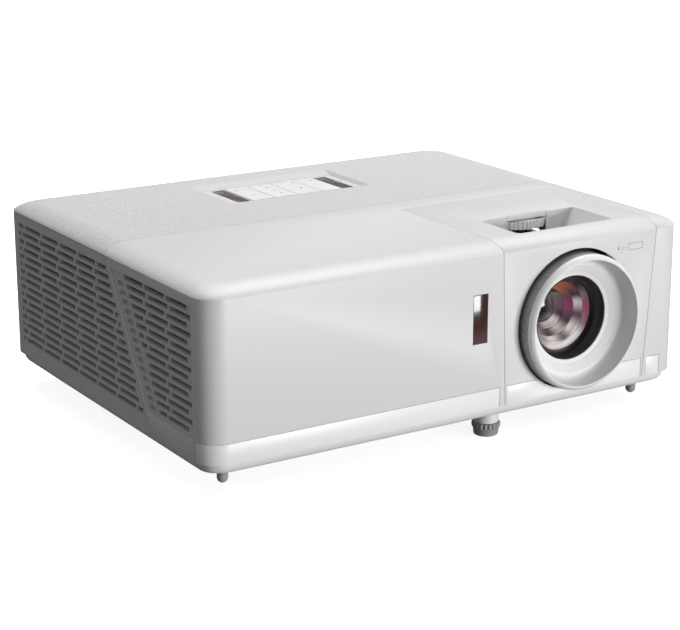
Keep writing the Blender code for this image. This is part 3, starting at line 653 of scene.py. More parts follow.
def make_ink_finishes():
    # Pad-printed ink lies flat and dull on the white.
    for key, code in (("grey", "#8f8f90"), ("dark", "#6b6b6d"), ("red", "#a87a74")):
        grained(key + "_ink", "pad_printed_%s_ink" % key, linear(code), 0.6, 0.3, 0.002, (0.55, 0.68))


# Painted reflections and glints round each cell, by the angle round the lens axis
CELL_PAINTED_REFLECTIONS = {
    "amber": ((0.0, "#8d8584"), (0.14, "#b5a9a6"), (0.22, "#f2ece9"), (0.36, "#ffffff"), (0.44, "#a87d90"),
              (0.51, "#b5607f"), (0.57, "#8c7a80"), (0.64, "#2e2a2c"), (0.72, "#4a3a38"), (0.80, "#8c5a3e"),
              (0.90, "#3a2a26")),
    "rose": ((0.0, "#5a5250"), (0.16, "#a39a97"), (0.24, "#f6f2ef"), (0.31, "#8a7f7d"), (0.38, "#fbf6f4"),
             (0.46, "#6e5a64"), (0.53, "#efe6e8"), (0.58, "#3c3638"), (0.66, "#8a5236"), (0.76, "#c07242"),
             (0.90, "#54382c")),
    "violet": ((0.0, "#4a4442"), (0.15, "#8a8280"), (0.24, "#5d5553"), (0.33, "#dcd4d1"), (0.41, "#5a4a50"),
               (0.50, "#9a4d72"), (0.58, "#7a4650"), (0.68, "#b0683e"), (0.78, "#8a5438"),
               (0.92, "#3a2c28")),
    "smoke": ((0.0, "#3a3636"), (0.18, "#6a6462"), (0.27, "#d0cac8"), (0.36, "#f2eeec"), (0.43, "#4a4446"),
              (0.52, "#6a3c54"), (0.62, "#3a3032"), (0.75, "#4a3630"), (0.90, "#262222")),
}


def make_lens_finishes():
    # Optical glass under an anti-reflection coating: almost clear, with a faint violet cast.
    FINISH["front_glass"] = new_finish("coated_optical_glass", linear("#3a2434"), 0.03, Alpha=0.14,
                                       Specular_IOR_Level=0.15)
    FINISH["inner_glass"] = new_finish("coated_inner_glass", linear("#1a1b1f"), 0.06, Coat_Weight=1.0,
                                       Coat_Roughness=0.03)
    # The cells between the elements carry painted reflections of the coatings: amber above, magenta at the
    # right and painted pale glints at the foot; a faint painted glow stands for the light caught between
    # elements.
    for word, stops in CELL_PAINTED_REFLECTIONS.items():
        coat = new_finish("coated_cell_" + word, linear(stops[0][1]), 0.2, Emission_Strength=0.4,
                          Coat_Weight=0.5, Coat_Roughness=0.05)
        FINISH["cell_" + word] = paint_reflections_by_angle(coat, stops)


# ---- the stage ----------------------------------------------------------------------------
class PROJECTOR_OT_stage(bpy.types.Operator):
    """Set up the pale floor, the soft lights and the camera"""
    bl_idname = "projector.stage"
    bl_label = "Stage"

    def execute(self, context):
        self.add_floor()
        self.add_air()
        self.add_lights()
        self.add_camera()
        return {'FINISHED'}

    def add_floor(self):
        """A pale sweep: a floor that curves up into a wall behind the object."""
        rest()
        bpy.ops.mesh.primitive_plane_add(size=FLOOR_SIZE)
        floor = bpy.context.object
        floor.name = "studio_sweep"
        edit(floor, 'EDGE')
        far = FLOOR_SIZE / 2 - 0.01
        pick(floor, "edges", lambda middle: middle.y > far)
        bpy.ops.mesh.extrude_region_move(TRANSFORM_OT_translate={"value": (0.0, 0.0, WALL_HEIGHT)})
        bpy.ops.mesh.select_all(action='DESELECT')
        pick(floor, "edges", lambda middle: middle.y > far and abs(middle.z) < 0.01)
        bpy.ops.mesh.bevel(offset=SWEEP_R, segments=16, affect='EDGES')
        hold(floor)
        bpy.ops.object.shade_smooth()
        white = linear("#ffffff")
        # Matt studio paper under its own wash of light, so it stays an even white.
        paper = new_finish("pale_studio_paper", white, 0.9, Emission_Strength=PAPER_GLOW)
        paper.node_tree.nodes["Principled BSDF"].inputs["Emission Color"].default_value = (*white, 1.0)
        floor.data.materials.append(paper)
        # Its glow lights nothing but the paper.
        floor.visible_diffuse = floor.visible_glossy = floor.visible_transmission = False
        floor.visible_shadow = False
        return floor

    def add_air(self):
        """Soft light from all round, stronger from above than from below."""
        world = bpy.data.worlds.new("studio_air")
        world.use_nodes = True
        tree = world.node_tree
        air = tree.nodes["Background"]
        air.inputs["Color"].default_value = (1.0, 1.0, 1.0, 1.0)
        direction = add_node(tree, "ShaderNodeTexCoord")
        split = add_node(tree, "ShaderNodeSeparateXYZ", {}, {"Vector": direction.outputs["Generated"]})
        rise = add_node(tree, "ShaderNodeMapRange",
                        {"From Min": -0.25, "From Max": 0.45, "To Min": AIR_BELOW, "To Max": AIR_ABOVE},
                        {"Value": split.outputs["Z"]})
        tree.links.new(rise.outputs["Result"], air.inputs["Strength"])
        bpy.context.scene.world = world

    def add_lights(self):
        for name, place, aim, size, power in STUDIO_LIGHTS:
            rest()
            bpy.ops.object.light_add(type='AREA', location=place)
            light = bpy.context.object
            light.name = name
            light.data.shape = 'RECTANGLE'
            light.data.size, light.data.size_y = size
            light.data.energy = power
            light.rotation_euler = (Vector(aim) - Vector(place)).to_track_quat('-Z', 'Y').to_euler()

    def add_camera(self):
        """The camera stands to the left of the front and a little above the object."""
        rest()
        bpy.ops.object.camera_add(location=CAMERA_PLACE)
        camera = bpy.context.object
        turn, lift = math.radians(CAMERA_AZIMUTH), math.radians(CAMERA_ELEVATION)
        away = Vector((math.sin(turn) * math.cos(lift), -math.cos(turn) * math.cos(lift), math.sin(lift)))
        camera.rotation_euler = (-away).to_track_quat('-Z', 'Y').to_euler()
        camera.data.sensor_width = 36.0
        camera.data.lens = CAMERA_LENS
        camera.data.shift_x, camera.data.shift_y = CAMERA_SHIFT
        camera.data.clip_start, camera.data.clip_end = 0.05, 60.0
        bpy.context.scene.camera = camera
        bpy.context.scene.view_settings.view_transform = 'Standard'


# ---- shared tools -------------------------------------------------------------------------
def plan_solid(rings, corner):
    """Solid of stacked plans, each an (inset, height): the first is rounded and drawn up."""
    rest()
    inset, height = rings[0]
    bpy.ops.mesh.primitive_plane_add(size=2, location=(0.0, MIDDLE, up(height)))
    keep_place()
    piece = bpy.context.object
    edit(piece)
    bpy.ops.mesh.select_all(action='SELECT')
    bpy.ops.transform.resize(value=(SIDE - inset, BODY_D / 2 - inset, 1.0),
                             center_override=(0.0, MIDDLE, up(height)))
    bpy.ops.mesh.bevel(offset=corner, segments=CORNER_STEPS, affect='VERTICES')
    for (low_inset, low), (high_inset, high) in zip(rings, rings[1:]):
        bpy.ops.mesh.extrude_region_move(TRANSFORM_OT_translate={"value": (0.0, 0.0, high - low)})
        shrink = ((SIDE - high_inset) / (SIDE - low_inset),
                  (BODY_D / 2 - high_inset) / (BODY_D / 2 - low_inset), 1.0)
        bpy.ops.transform.resize(value=shrink, center_override=(0.0, MIDDLE, up(high)))
    make_outward()
    rest()
    return piece


def edge_stack():
    """Insets and heights of the rounding between the walls and the top."""
    start = math.acos(1 - EDGE_CUT / EDGE_RUN)
    angles = [start + (math.pi / 2 - start) * i / EDGE_STEPS for i in range(EDGE_STEPS + 1)]
    return [(EDGE_RUN * (1 - math.cos(angle)) - EDGE_CUT, BODY_H - EDGE_RISE + EDGE_RISE * math.sin(angle))
            for angle in angles]


def seam_back(height):
    """Distance of the slanted side seam behind the front face at a height."""
    return SEAM_CREASE - SEAM_SLOPE * (SIDE_TOP - height)


def front_zone(grow):
    """Tool that fills everything ahead of the parting line of the covers."""
    ahead, under, over = FRONT - 12 * REACH, -4 * REACH, TOP + 4 * REACH
    outline = [(ahead, up(under)), (back(seam_back(under)) + grow, up(under)),
               (back(SEAM_CREASE) + grow, up(SIDE_TOP)), (back(SEAM_TOP) + grow, up(BODY_H - 0.5)),
               (back(SEAM_TOP) + grow, over), (ahead, over)]
    return outline_block(0, -SIDE - 10 * REACH, SIDE + 10 * REACH, outline)


def panel_zone(grow):
    """Tool that fills the tapered area of the lens panel over the front and the top."""
    outline = []
    for side, step in ((0, 1), (1, -1)):
        foot, top = PANEL_FOOT_X[side] - step * grow, PANEL_TOP_X[side] - step * grow
        edge = [(foot, up(-4 * REACH)), (foot, up(COVER_FOOT)), (top, up(SIDE_TOP)), (top, TOP + 4 * REACH)]
        outline += edge[::step]
    return outline_block(1, FRONT - 8 * REACH, back(PANEL_REAR) + grow, outline)


def strip_tool(word):
    """Tool for the shallow step that a length of the foot strip lies in."""
    ends, rear = STRIP_LENGTHS[word]
    deep = STRIP_DEEP + STRIP_ROOM
    low, high = COVER_FOOT - STRIP_ROOM, STRIP_TOP + STRIP_ROOM
    ring = plan_solid([(-STRIP_PROUD, low), (-STRIP_PROUD, high)], CORNER_R)
    cut(ring, plan_solid([(deep, low - REACH), (deep, high + REACH)], CORNER_R - deep))
    area = block(grown(ends, STRIP_ROOM), (FRONT - 2 * REACH, back(rear) + STRIP_ROOM), ups(0, 6 * REACH))
    return cut(ring, area, 'INTERSECT')


def side_hole(cover, low, high, ends_low, ends_high):
    """Cut the same opening through both sides of a cover, from its ends at two heights."""
    outline = [(back(ends_low[0]), up(low)), (back(ends_low[1]), up(low)),
               (back(ends_high[1]), up(high)), (back(ends_high[0]), up(high))]
    for side in (-1, 1):
        cut(cover, outline_block(0, side * (SIDE - 2 * REACH), side * (SIDE + 2 * REACH), outline))


def tub_tool(grow, top):
    """Tool of the thumb recess: a boat with slanted ends, rounded in plan."""
    low = TOP - TUB_DEEP - grow
    tool = block(grown(TUB_X, grow), backs(*TUB_BACK, grow), (low, top))
    edit(tool, 'EDGE')
    pick(tool, "edges", lambda middle: low + 0.1 < middle.z < top - 0.1)
    bpy.ops.mesh.bevel(offset=TUB_CORNER, segments=6, affect='EDGES')
    edit(tool)
    pick(tool, "verts", lambda middle: middle.z < low + 0.1)
    half = (TUB_X[1] - TUB_X[0]) / 2 + grow
    run = min(top, TOP) - low
    bpy.ops.transform.resize(value=((half - run) / half, 1.0, 1.0),
                             center_override=(sum(TUB_X) / 2, 0.0, low))
    rest()
    return tool


# ---- pieces -------------------------------------------------------------------------------
class PROJECTOR_OT_covers(bpy.types.Operator):
    """Model the front cover, the dimpled rear cover and the lens panel"""
    bl_idname = "projector.covers"
    bl_label = "Covers"

    def execute(self, context):
        soft = context.scene.projector_sizes.edge_softness / MM
        shell = plan_solid([(0.0, COVER_FOOT)] + edge_stack(), CORNER_R)
        hollow = [(WALL, -REACH), (WALL, CORE_WALL_H), (CORE_ROOF_IN, BODY_H - WALL)]
        core = plan_solid(hollow, CORNER_R - WALL)
        smooth_block = duplicate(shell)
        cut(shell, core)
        self.front_cover(duplicate(shell), soft)
        self.rear_cover(duplicate(shell), smooth_block, soft)
        self.lens_panel(shell, soft)
        return {'FINISHED'}

    def front_cover(self, cover, soft):
        cut(cover, front_zone(0.0), 'INTERSECT')
        cut(cover, panel_zone(GAP / 2))
        cut(cover, block(grown(IR_X, GAP), (FRONT - REACH, FRONT + 2 * REACH), ups(*IR_H, GAP)))
        for word in ("left", "right"):
            cut(cover, strip_tool(word))
        low, high = grown(FRONT_GRILLE_H, GAP)
        ends = [(FRONT_GRILLE_START - GAP, seam_back(height) - SEAM_LAND + GAP) for height in (low, high)]
        side_hole(cover, low, high, *ends)
        soften(cover, soft)
        finish(cover, "front_cover_shell", "housing", "satin_abs", ["front_cover"])

    def rear_cover(self, cover, smooth_block, soft):
        cut(cover, front_zone(GAP))
        low, high = COVER_FOOT - GAP, SIDE_TOP - 0.2 + GAP
        ends = [(seam_back(height), SIDE_REAR + GAP) for height in (low, high)]
        side_hole(cover, low, high, *ends)
        cut(cover, self.dish_tool())
        cut(cover, block(grown(IO_X, GAP), (REAR - 2 * REACH, REAR + REACH), ups(*IO_H, GAP)))
        soften(cover, soft)
        cut(cover, self.dimple_tool(smooth_block))
        # The small angle keeps the dimples' facets flat, so that each one catches the light.
        finish(cover, "rear_cover_shell", "housing", "dimpled_abs", ["rear_cover"], 15.0)

    def dish_tool(self):
        """Tool of the shallow dish round the keypad, sloped on all sides and open at its floor."""
        floor = up(BODY_H - DISH_DEEP)
        well = block(grown((-DISH_FLAT_X, DISH_FLAT_X), GAP), backs(*DISH_FLAT_BACK, GAP),
                     (up(WELL_FOOT), floor))
        edit(well, 'FACE')
        pick(well, "faces", lambda middle: middle.z > floor - 0.01)
        bpy.ops.mesh.extrude_region_move(TRANSFORM_OT_translate={"value": (0.0, 0.0, DISH_DEEP)})
        flat_mid = back(sum(DISH_FLAT_BACK) / 2)
        rim_half = (DISH_BACK[1] - DISH_BACK[0]) / 2
        flat_half = (DISH_FLAT_BACK[1] - DISH_FLAT_BACK[0]) / 2 + GAP
        bpy.ops.transform.resize(value=(DISH_X / (DISH_FLAT_X + GAP), rim_half / flat_half, 1.0),
                                 center_override=(0.0, flat_mid, TOP))
        bpy.ops.transform.translate(value=(0.0, back(sum(DISH_BACK) / 2) - flat_mid, 0.0))
        bpy.ops.mesh.extrude_region_move(TRANSFORM_OT_translate={"value": (0.0, 0.0, REACH + 1.0)})
        rest()
        return well

    def dimple_tool(self, smooth_block):
        """Sheet laid over the smooth top, every other corner pressed in, and filled upwards."""
        depth = bpy.context.scene.projector_sizes.dimple_depth / MM
        step = DIMPLE_STEP
        first, last = back(SEAM_TOP + GAP + 1.0), REAR - DIMPLE_MARGIN
        across, along = int((SIDE - DIMPLE_MARGIN) / step), int((last - first) / step)
        rest()
        bpy.ops.mesh.primitive_grid_add(x_subdivisions=2 * across, y_subdivisions=along, size=1)
        sheet = bpy.context.object
        sheet.location = (0.0, first + along * step / 2, TOP + 3.0)
        sheet.scale = (2 * across * step, along * step, 1.0)
        keep_place()
        self.lay_over(sheet, smooth_block)

        def parity(place, shift):
            return (round((place.x - shift) / step) + round((place.y - shift - first) / step)) % 2

        edit(sheet)
        bpy.ops.mesh.select_all(action='SELECT')
        bpy.ops.transform.translate(value=(0.0, 0.0, -0.01))
        pick(sheet, "verts", lambda place: up(SIDE_TOP) < place.z < TOP + 1.0 and parity(place, 0.0))
        bpy.ops.transform.shrink_fatten(value=-depth)
        # Each face is split between its two raised corners, so that every pressed one is a small pit.
        edit(sheet, 'FACE')
        for odd, method in ((0, 'FIXED'), (1, 'FIXED_ALTERNATE')):
            bpy.ops.mesh.select_all(action='DESELECT')
            pick(sheet, "quads", lambda middle: parity(middle, step / 2) == odd)
            bpy.ops.mesh.quads_convert_to_tris(quad_method=method)
        bpy.ops.mesh.select_all(action='SELECT')
        bpy.ops.mesh.extrude_region_move(TRANSFORM_OT_translate={"value": (0.0, 0.0, 8 * REACH)})
        make_outward()
        rest()
        return sheet

    def lay_over(self, sheet, smooth_block):
        """Drop a sheet straight down on a block, which is used up."""
        bpy.ops.object.modifier_add(type='SHRINKWRAP')
        wrap = sheet.modifiers[-1]
        wrap.target = smooth_block
        wrap.wrap_method = 'PROJECT'
        wrap.use_project_z = True
        wrap.use_positive_direction = False
        wrap.use_negative_direction = True
        bpy.ops.object.modifier_apply(modifier=wrap.name)
        bpy.data.objects.remove(smooth_block, do_unlink=True)

    def lens_panel(self, panel, soft):
        cut(panel, panel_zone(-GAP / 2), 'INTERSECT')
        cut(panel, tub_tool(TUB_WALL, TOP - 1.2), 'UNION')
        cut(panel, tub_tool(0.0, TOP + REACH))
        cut(panel, block((DIAL_X - MOUTH_HALF, DIAL_X + MOUTH_HALF),
                         backs(TUB_BACK[1] - 0.5, TUB_BACK[1] + 1.8), (TOP - MOUTH_DEEP, TOP + REACH)))
        cut(panel, block((DIAL_X - MOUTH_HALF, DIAL_X + SLOT_RIGHT),
                         backs(TUB_BACK[1] - SLOT_AHEAD, TUB_BACK[1] - 0.1),
                         (TOP - TUB_DEEP - REACH, TOP - TUB_DEEP + 0.9)))
        cut(panel, rod(1, (LENS_X, 0.0, up(HOLE_H)), HOLE_R, FRONT - REACH, FRONT + REACH + 1.0, 96))
        cut(panel, strip_tool("panel"))
        soften(panel, soft)
        finish(panel, "lens_panel_shell", "housing", "satin_abs", ["lens_panel"])


class PROJECTOR_OT_bottom_case(bpy.types.Operator):
    """Model the tray under the covers with its rounded lower edge"""
    bl_idname = "projector.bottom_case"
    bl_label = "Bottom case"

    def execute(self, context):
        tray = plan_solid(CASE_PROFILE, CORNER_R - CASE_INSET)
        cut(tray, plan_solid([(TRAY_WALL, TRAY_FLOOR), (TRAY_WALL, TRAY_TOP)], CORNER_R - TRAY_WALL))
        for x, distance in FEET.values():
            cut(tray, rod(2, (x, back(distance), 0.0), STEM_R + GAP, up(-REACH), up(TRAY_TOP), 40))
        soften(tray, 0.25)
        finish(tray, "bottom_case_tray", "housing", "satin_abs", ["bottom_case"])
        self.screws()
        return {'FINISHED'}

    def screws(self):
        """Bracket screws sunk in the underside."""
        outline = [(radius, up(height)) for radius, height in UNDER_SCREW]
        head = turned(2, (0.0, 0.0, 0.0), outline, 24)
        places = [(x, back(distance), 0.0) for x in UNDER_SCREW_X for distance in UNDER_SCREW_BACK]
        finish(join(copies(head, places)), "underside_screws", "housing", "nickel")


class PROJECTOR_OT_grilles(bpy.types.Operator):
    """Model the slotted side plates and what shows dimly behind them"""
    bl_idname = "projector.grilles"
    bl_label = "Side grilles"

    def execute(self, context):
        soft = context.scene.projector_sizes.edge_softness / MM
        for side, word in ((-1, "left"), (1, "right")):
            softened_node("side_panel_" + word, soft, "grille_abs")
            front = cut(node_copy("front_grille_" + word), self.groove_tool(side))
            soften(front, soft)
            finish(front, "front_grille_" + word + "_moulding", "housing", "grille_abs",
                   ["front_grille_" + word])
            self.shutter(side, word)
        return {'FINISHED'}

    def groove_tool(self, side):
        """Shallow blind slots that carry the rows on to the slanted seam."""
        face = side * (SIDE - GRILLE_SINK)
        span = sorted((face - side * GROOVE_DEEP, face + side * 2.0))
        grooves = []
        for row in range(SLOT_ROWS):
            height = SLOT_TOP - SLOT_PITCH * row
            low, high = height - SLOT_TALL / 2, height + SLOT_TALL / 2
            if low < FRONT_GRILLE_H[0] + 1.5 or high > FRONT_GRILLE_H[1] - 1.0:
                continue
            far = seam_back(low) - GROOVE_END
            grooves.append(block(span, backs(far - GROOVE_LONG, far), ups(low, high)))
        return join(grooves)

    def shutter(self, side, word):
        """Plate behind the topmost and rearmost slots, which blinds them."""
        face = side * (SIDE - SHUTTER_IN)
        (ahead, inner, rear), (foot, low, top) = SHUTTER_BACK, SHUTTER_H
        corners = ((ahead, low), (inner, low), (inner, foot), (rear, foot), (rear, top), (ahead, top))
        plate = outline_block(0, face, face - side * SHUTTER_THICK, [(back(y), up(z)) for y, z in corners])
        finish(soften(plate, 0.3), "slot_shutter_" + word, "housing", "grey_abs")


class PROJECTOR_OT_trim(bpy.types.Operator):
    """Model the foot strip, the infrared window, the bumpers and the printed sign"""
    bl_idname = "projector.trim"
    bl_label = "Trim"

    def execute(self, context):
        for word in STRIP_LENGTHS:
            softened_node("trim_strip_" + word, 0.2, "trim_abs")
        softened_node("ir_window", 0.35, "smoked_acrylic")
        softened_node("dial_bezel", 0.3, "satin_abs")
        self.bumpers()
        self.sign()
        return {'FINISHED'}

    def bumpers(self):
        """Rubber buttons with a round nose and a collar under the case."""
        foot, r = up(-BUMPER_DROP), BUMPER_R
        turns = [math.radians(angle) for angle in range(0, 91, 10)]
        nose = [(r * math.sin(turn), foot + r * (1 - math.cos(turn))) for turn in turns]
        collar = [(r, foot + 6.2), (r - 0.4, foot + 6.6), (r - 0.4, up(-1.2)), (r, up(-0.9)), (r, up(-0.3)),
                  (0.0, up(-0.3))]
        button = turned(2, (0.0, back(BUMPER_BACK), 0.0), nose + collar, 40)
        pair = copies(button, ((-BUMPER_X, 0.0, 0.0), (BUMPER_X, 0.0, 0.0)))
        for piece, word in zip(pair, ("left", "right")):
            finish(piece, "bumper_button_" + word, "housing", "rubber", ["bumper_" + word])

    def sign(self):
        """Printed picture mark: a lens, rays of dots and a screen."""
        ink = (FRONT - INK, FRONT + 0.02)
        screen = block(SIGN_X, ink, ups(*SIGN_H))
        cut(screen, block(grown(SIGN_X, -SIGN_LINE), (FRONT - 1, FRONT + 1), ups(*SIGN_H, -SIGN_LINE)))
        x, height = SIGN_LENS
        lens = rod(1, (x, 0.0, up(height)), SIGN_LENS_R, *ink, 24)
        stretch(lens, (SIGN_LENS_SHARE, 1.0, 1.0), (x, FRONT, up(height)))
        dot = rod(1, (0.0, 0.0, 0.0), DOT_R, *ink, 12)
        dots = copies(dot, [(x, 0.0, up(height)) for x, height in SIGN_DOTS])
        finish(join([screen, lens] + dots), "printed_sign", "housing", "grey_ink")


class PROJECTOR_OT_keypad(bpy.types.Operator):
    """Model the keypad: bezel, status windows, four keys and their printed marks"""
    bl_idname = "projector.keypad"
    bl_label = "Keypad"

    def execute(self, context):
        softened_node("keypad_bezel", 0.2, "satin_abs")
        for word in ("left", "right"):
            softened_node("status_window_" + word, 0.25, "window_acrylic")
        for number in KEY_MARKS:
            self.key(number)
        self.status_marks()
        return {'FINISHED'}

    def key(self, number):
        """A key with rounded corners and a top that falls away at its rim, and its marks."""
        node = "key_%d" % number
        low, high = (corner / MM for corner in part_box(node))
        cap = block((low.x, high.x), (low.y, high.y), (low.z, high.z))
        edit(cap, 'EDGE')
        pick(cap, "edges", lambda middle: low.z + 0.1 < middle.z < high.z - 0.1)
        bpy.ops.mesh.bevel(offset=0.8, segments=4, affect='EDGES')
        edit(cap, 'FACE')
        pick(cap, "faces", lambda middle: middle.z > high.z - 0.01)
        bpy.ops.mesh.inset(thickness=KEY_INSET, depth=0.0)
        edit(cap, 'VERT')
        edge_x, edge_y = (high.x - low.x) / 2 - 0.3, (high.y - low.y) / 2 - 0.3
        centre = (low + high) / 2
        pick(cap, "verts", lambda place: place.z > high.z - 0.01 and
             (abs(place.x - centre.x) > edge_x or abs(place.y - centre.y) > edge_y))
        bpy.ops.transform.translate(value=(0.0, 0.0, -KEY_FALL))
        soften(cap, 0.15, 2, 20.0)
        finish(cap, node + "_cap", node, "key_abs", [node])
        top = high.z + 0.02
        marks = []
        for x, distance, half_w, half_d in KEY_MARKS[number]:
            disc = rod(2, (x, back(distance), 0.0), 1.0, top - 0.06, top, 20)
            marks.append(stretch(disc, (half_w, half_d, 1.0), (x, back(distance), top)))
        finish(join(marks), node + "_marks", node, "red_ink" if number == 1 else "dark_ink")

    def status_marks(self):
        top = up(BODY_H - DISH_DEEP) + INK
        mark = rod(2, (0.0, back(STATUS_BACK), 0.0), 0.8, top - 0.07, top, 20)
        marks = copies(mark, ((-STATUS_X, 0.0, 0.0), (STATUS_X, 0.0, 0.0)))
        finish(join(marks), "status_marks", "housing", "red_ink")


def dome(radius, rise, count, base):
    """Points of a shallow dome from its edge to the middle: (radius, place along the axis)."""
    curve = (radius * radius + rise * rise) / (2 * rise)
    radii = [radius * (1 - i / count) for i in range(count + 1)]
    return [(r, base + math.sqrt(curve * curve - r * r) - (curve - rise)) for r in radii]


def lens_turned(outline, steps, centre=LENS_CENTRE):
    """Spin an outline of (radius, distance in front of the front face) about the lens axis."""
    return turned(1, centre, [(radius, FRONT - proud) for radius, proud in outline], steps)


class PROJECTOR_OT_lens(bpy.types.Operator):
    """Model the focus ring with its ribs, the baffle, the barrel and the glass"""
    bl_idname = "projector.lens"
    bl_label = "Lens"

    def execute(self, context):
        self.focus_ring(context.scene.projector_sizes.ring_ribs)
        baffle = lens_turned(BAFFLE_OUTLINE, 96)
        finish(baffle, "lens_baffle_cone", "lens", "lens_black", ["lens_baffle"], 50.0)
        barrel = lens_turned(BARREL_OUTLINE, 64)
        finish(barrel, "lens_barrel_tube", "lens", "lens_black", ["lens_barrel"])
        self.cells()
        self.glass()
        # A foam ring behind the focus ring closes the gap round it to light.
        seal = lens_turned(SEAL_OUTLINE, 64, (LENS_X, FRONT, up(HOLE_H)))
        finish(soften(seal, 0.3), "lens_light_seal", "housing", "black_abs")
        return {'FINISHED'}

    def focus_ring(self, ribs):
        """Ring with a bowl in front and ribs round its rear half."""
        columns = 2 * ribs
        ring = lens_turned(RING_OUTLINE, columns)
        press_columns(ring, 1, LENS_CENTRE, columns, RIB_FOOT_R / RING_R, lambda radius, y, column:
                      radius > RING_R - 0.05 and y > FRONT - RIB_END and column % 2)
        for key in ("ring_abs", "grip_abs"):
            ring.data.materials.append(FINISH[key])
        edit(ring, 'FACE')
        pick(ring, "faces", lambda place: place.y > FRONT - RIB_END - 0.1 and
             math.hypot(place.x - LENS_CENTRE[0], place.z - LENS_CENTRE[2]) > RIB_FOOT_R - 0.2)
        ring.active_material_index = 1
        bpy.ops.object.material_slot_assign()
        finish(ring, "focus_ring_grip", "focus", None, ["focus_ring"], 50.0)

    def cells(self):
        """Cells between the elements, each a stepped cone narrower and deeper than the last."""
        for word, (rim, wide, narrow, near, far) in CELLS.items():
            outline = [(rim, near), (wide - 0.35, near), (wide - 0.6, near - 0.3),
                       (wide - 0.75, near - 1.2), (narrow + 1.2, far + 1.6), (narrow + 0.3, far + 1.2),
                       (narrow, far + 0.8), (narrow, far), (rim, far)]
            finish(lens_turned(outline, 96), "lens_cell_" + word, "lens", "cell_" + word,
                   (), 50.0)

    def glass(self):
        """The front element, and the domed inner one with a flat rear face."""
        element = lens_turned(dome(*FRONT_DOME) + dome(*FRONT_DOME_REAR)[::-1], 96)
        finish(element, "front_element", "lens", "front_glass", ["front_glass"], 60.0)
        outline = [(PUPIL_DOME[0], PUPIL_REAR)] + dome(*PUPIL_DOME) + [(0.0, PUPIL_REAR)]
        finish(lens_turned(outline, 64), "inner_element", "lens", "inner_glass",
               ["rear_glass"], 60.0)


class PROJECTOR_OT_dial(bpy.types.Operator):
    """Model the toothed wheel of the lens shift"""
    bl_idname = "projector.dial"
    bl_label = "Shift dial"

    def execute(self, context):
        columns = 4 * context.scene.projector_sizes.dial_teeth
        low, high = (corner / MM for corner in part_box("shift_dial"))
        centre = ((low.x + high.x) / 2, (low.y + high.y) / 2, low.z)
        r, foot, top = DIAL_R, low.z, high.z
        outline = [(0.0, foot), (r - 0.5, foot), (r - 0.05, foot + 0.4), (r - 0.05, top - 0.5),
                   (r - 0.4, top - 0.1), (r - 1.4, top), (r - 2.0, top - 0.4), (r - 4.6, top - 0.4),
                   (r - 5.2, top), (0.0, top)]
        wheel = turned(2, centre, outline, columns)
        press_columns(wheel, 2, centre, columns, (r - TOOTH_DEEP) / r, lambda radius, z, column:
                      radius > r - 0.6 and column % 4 in (2, 3))
        finish(wheel, "shift_dial_wheel", "dial", "satin_abs", ["shift_dial"])
        return {'FINISHED'}


class PROJECTOR_OT_feet(bpy.types.Operator):
    """Model one screw foot, a stem and a notched wheel, and set copies of it at the three places"""
    bl_idname = "projector.feet"
    bl_label = "Feet"

    def execute(self, context):
        columns = 4 * context.scene.projector_sizes.foot_notches
        r, h, top = STEM_R, WHEEL_H, up(16.0)
        stem_outline = [(0.0, 3.0), (r - 3.0, 3.0), (r - 3.0, h + 0.3), (r - 0.4, h + 0.3), (r, h + 0.7),
                        (r, top - 0.4), (r - 0.4, top), (0.0, top)]
        wheel_outline = [(0.0, 0.0), (7.6, 0.0), (8.1, 0.3), (8.3, 1.0), (8.75, 4.8), (9.1, 5.3),
                         (9.6, 5.8), (9.7, 6.2), (9.7, h - 0.4), (9.4, h), (r - 2.6, h),
                         (r - 2.6, 2.6), (0.0, 2.6)]
        centre = (0.0, 0.0, 0.0)
        wheel = turned(2, centre, wheel_outline, columns)
        press_columns(wheel, 2, centre, columns, NOTCH_SHARE, lambda radius, z, column:
                      radius > 9.3 and column % 4 in (1, 2))
        places = [(x, back(distance), 0.0) for x, distance in FEET.values()]
        stems = copies(turned(2, centre, stem_outline, 48), places)
        for word, stem, wheel in zip(FEET, stems, copies(wheel, places)):
            finish(stem, "foot_%s_stem" % word, "foot_stem_" + word, "satin_abs",
                   ["foot_stem_" + word])
            finish(wheel, "foot_%s_wheel" % word, "foot_wheel_" + word, "grey_abs",
                   ["foot_wheel_" + word])
        return {'FINISHED'}


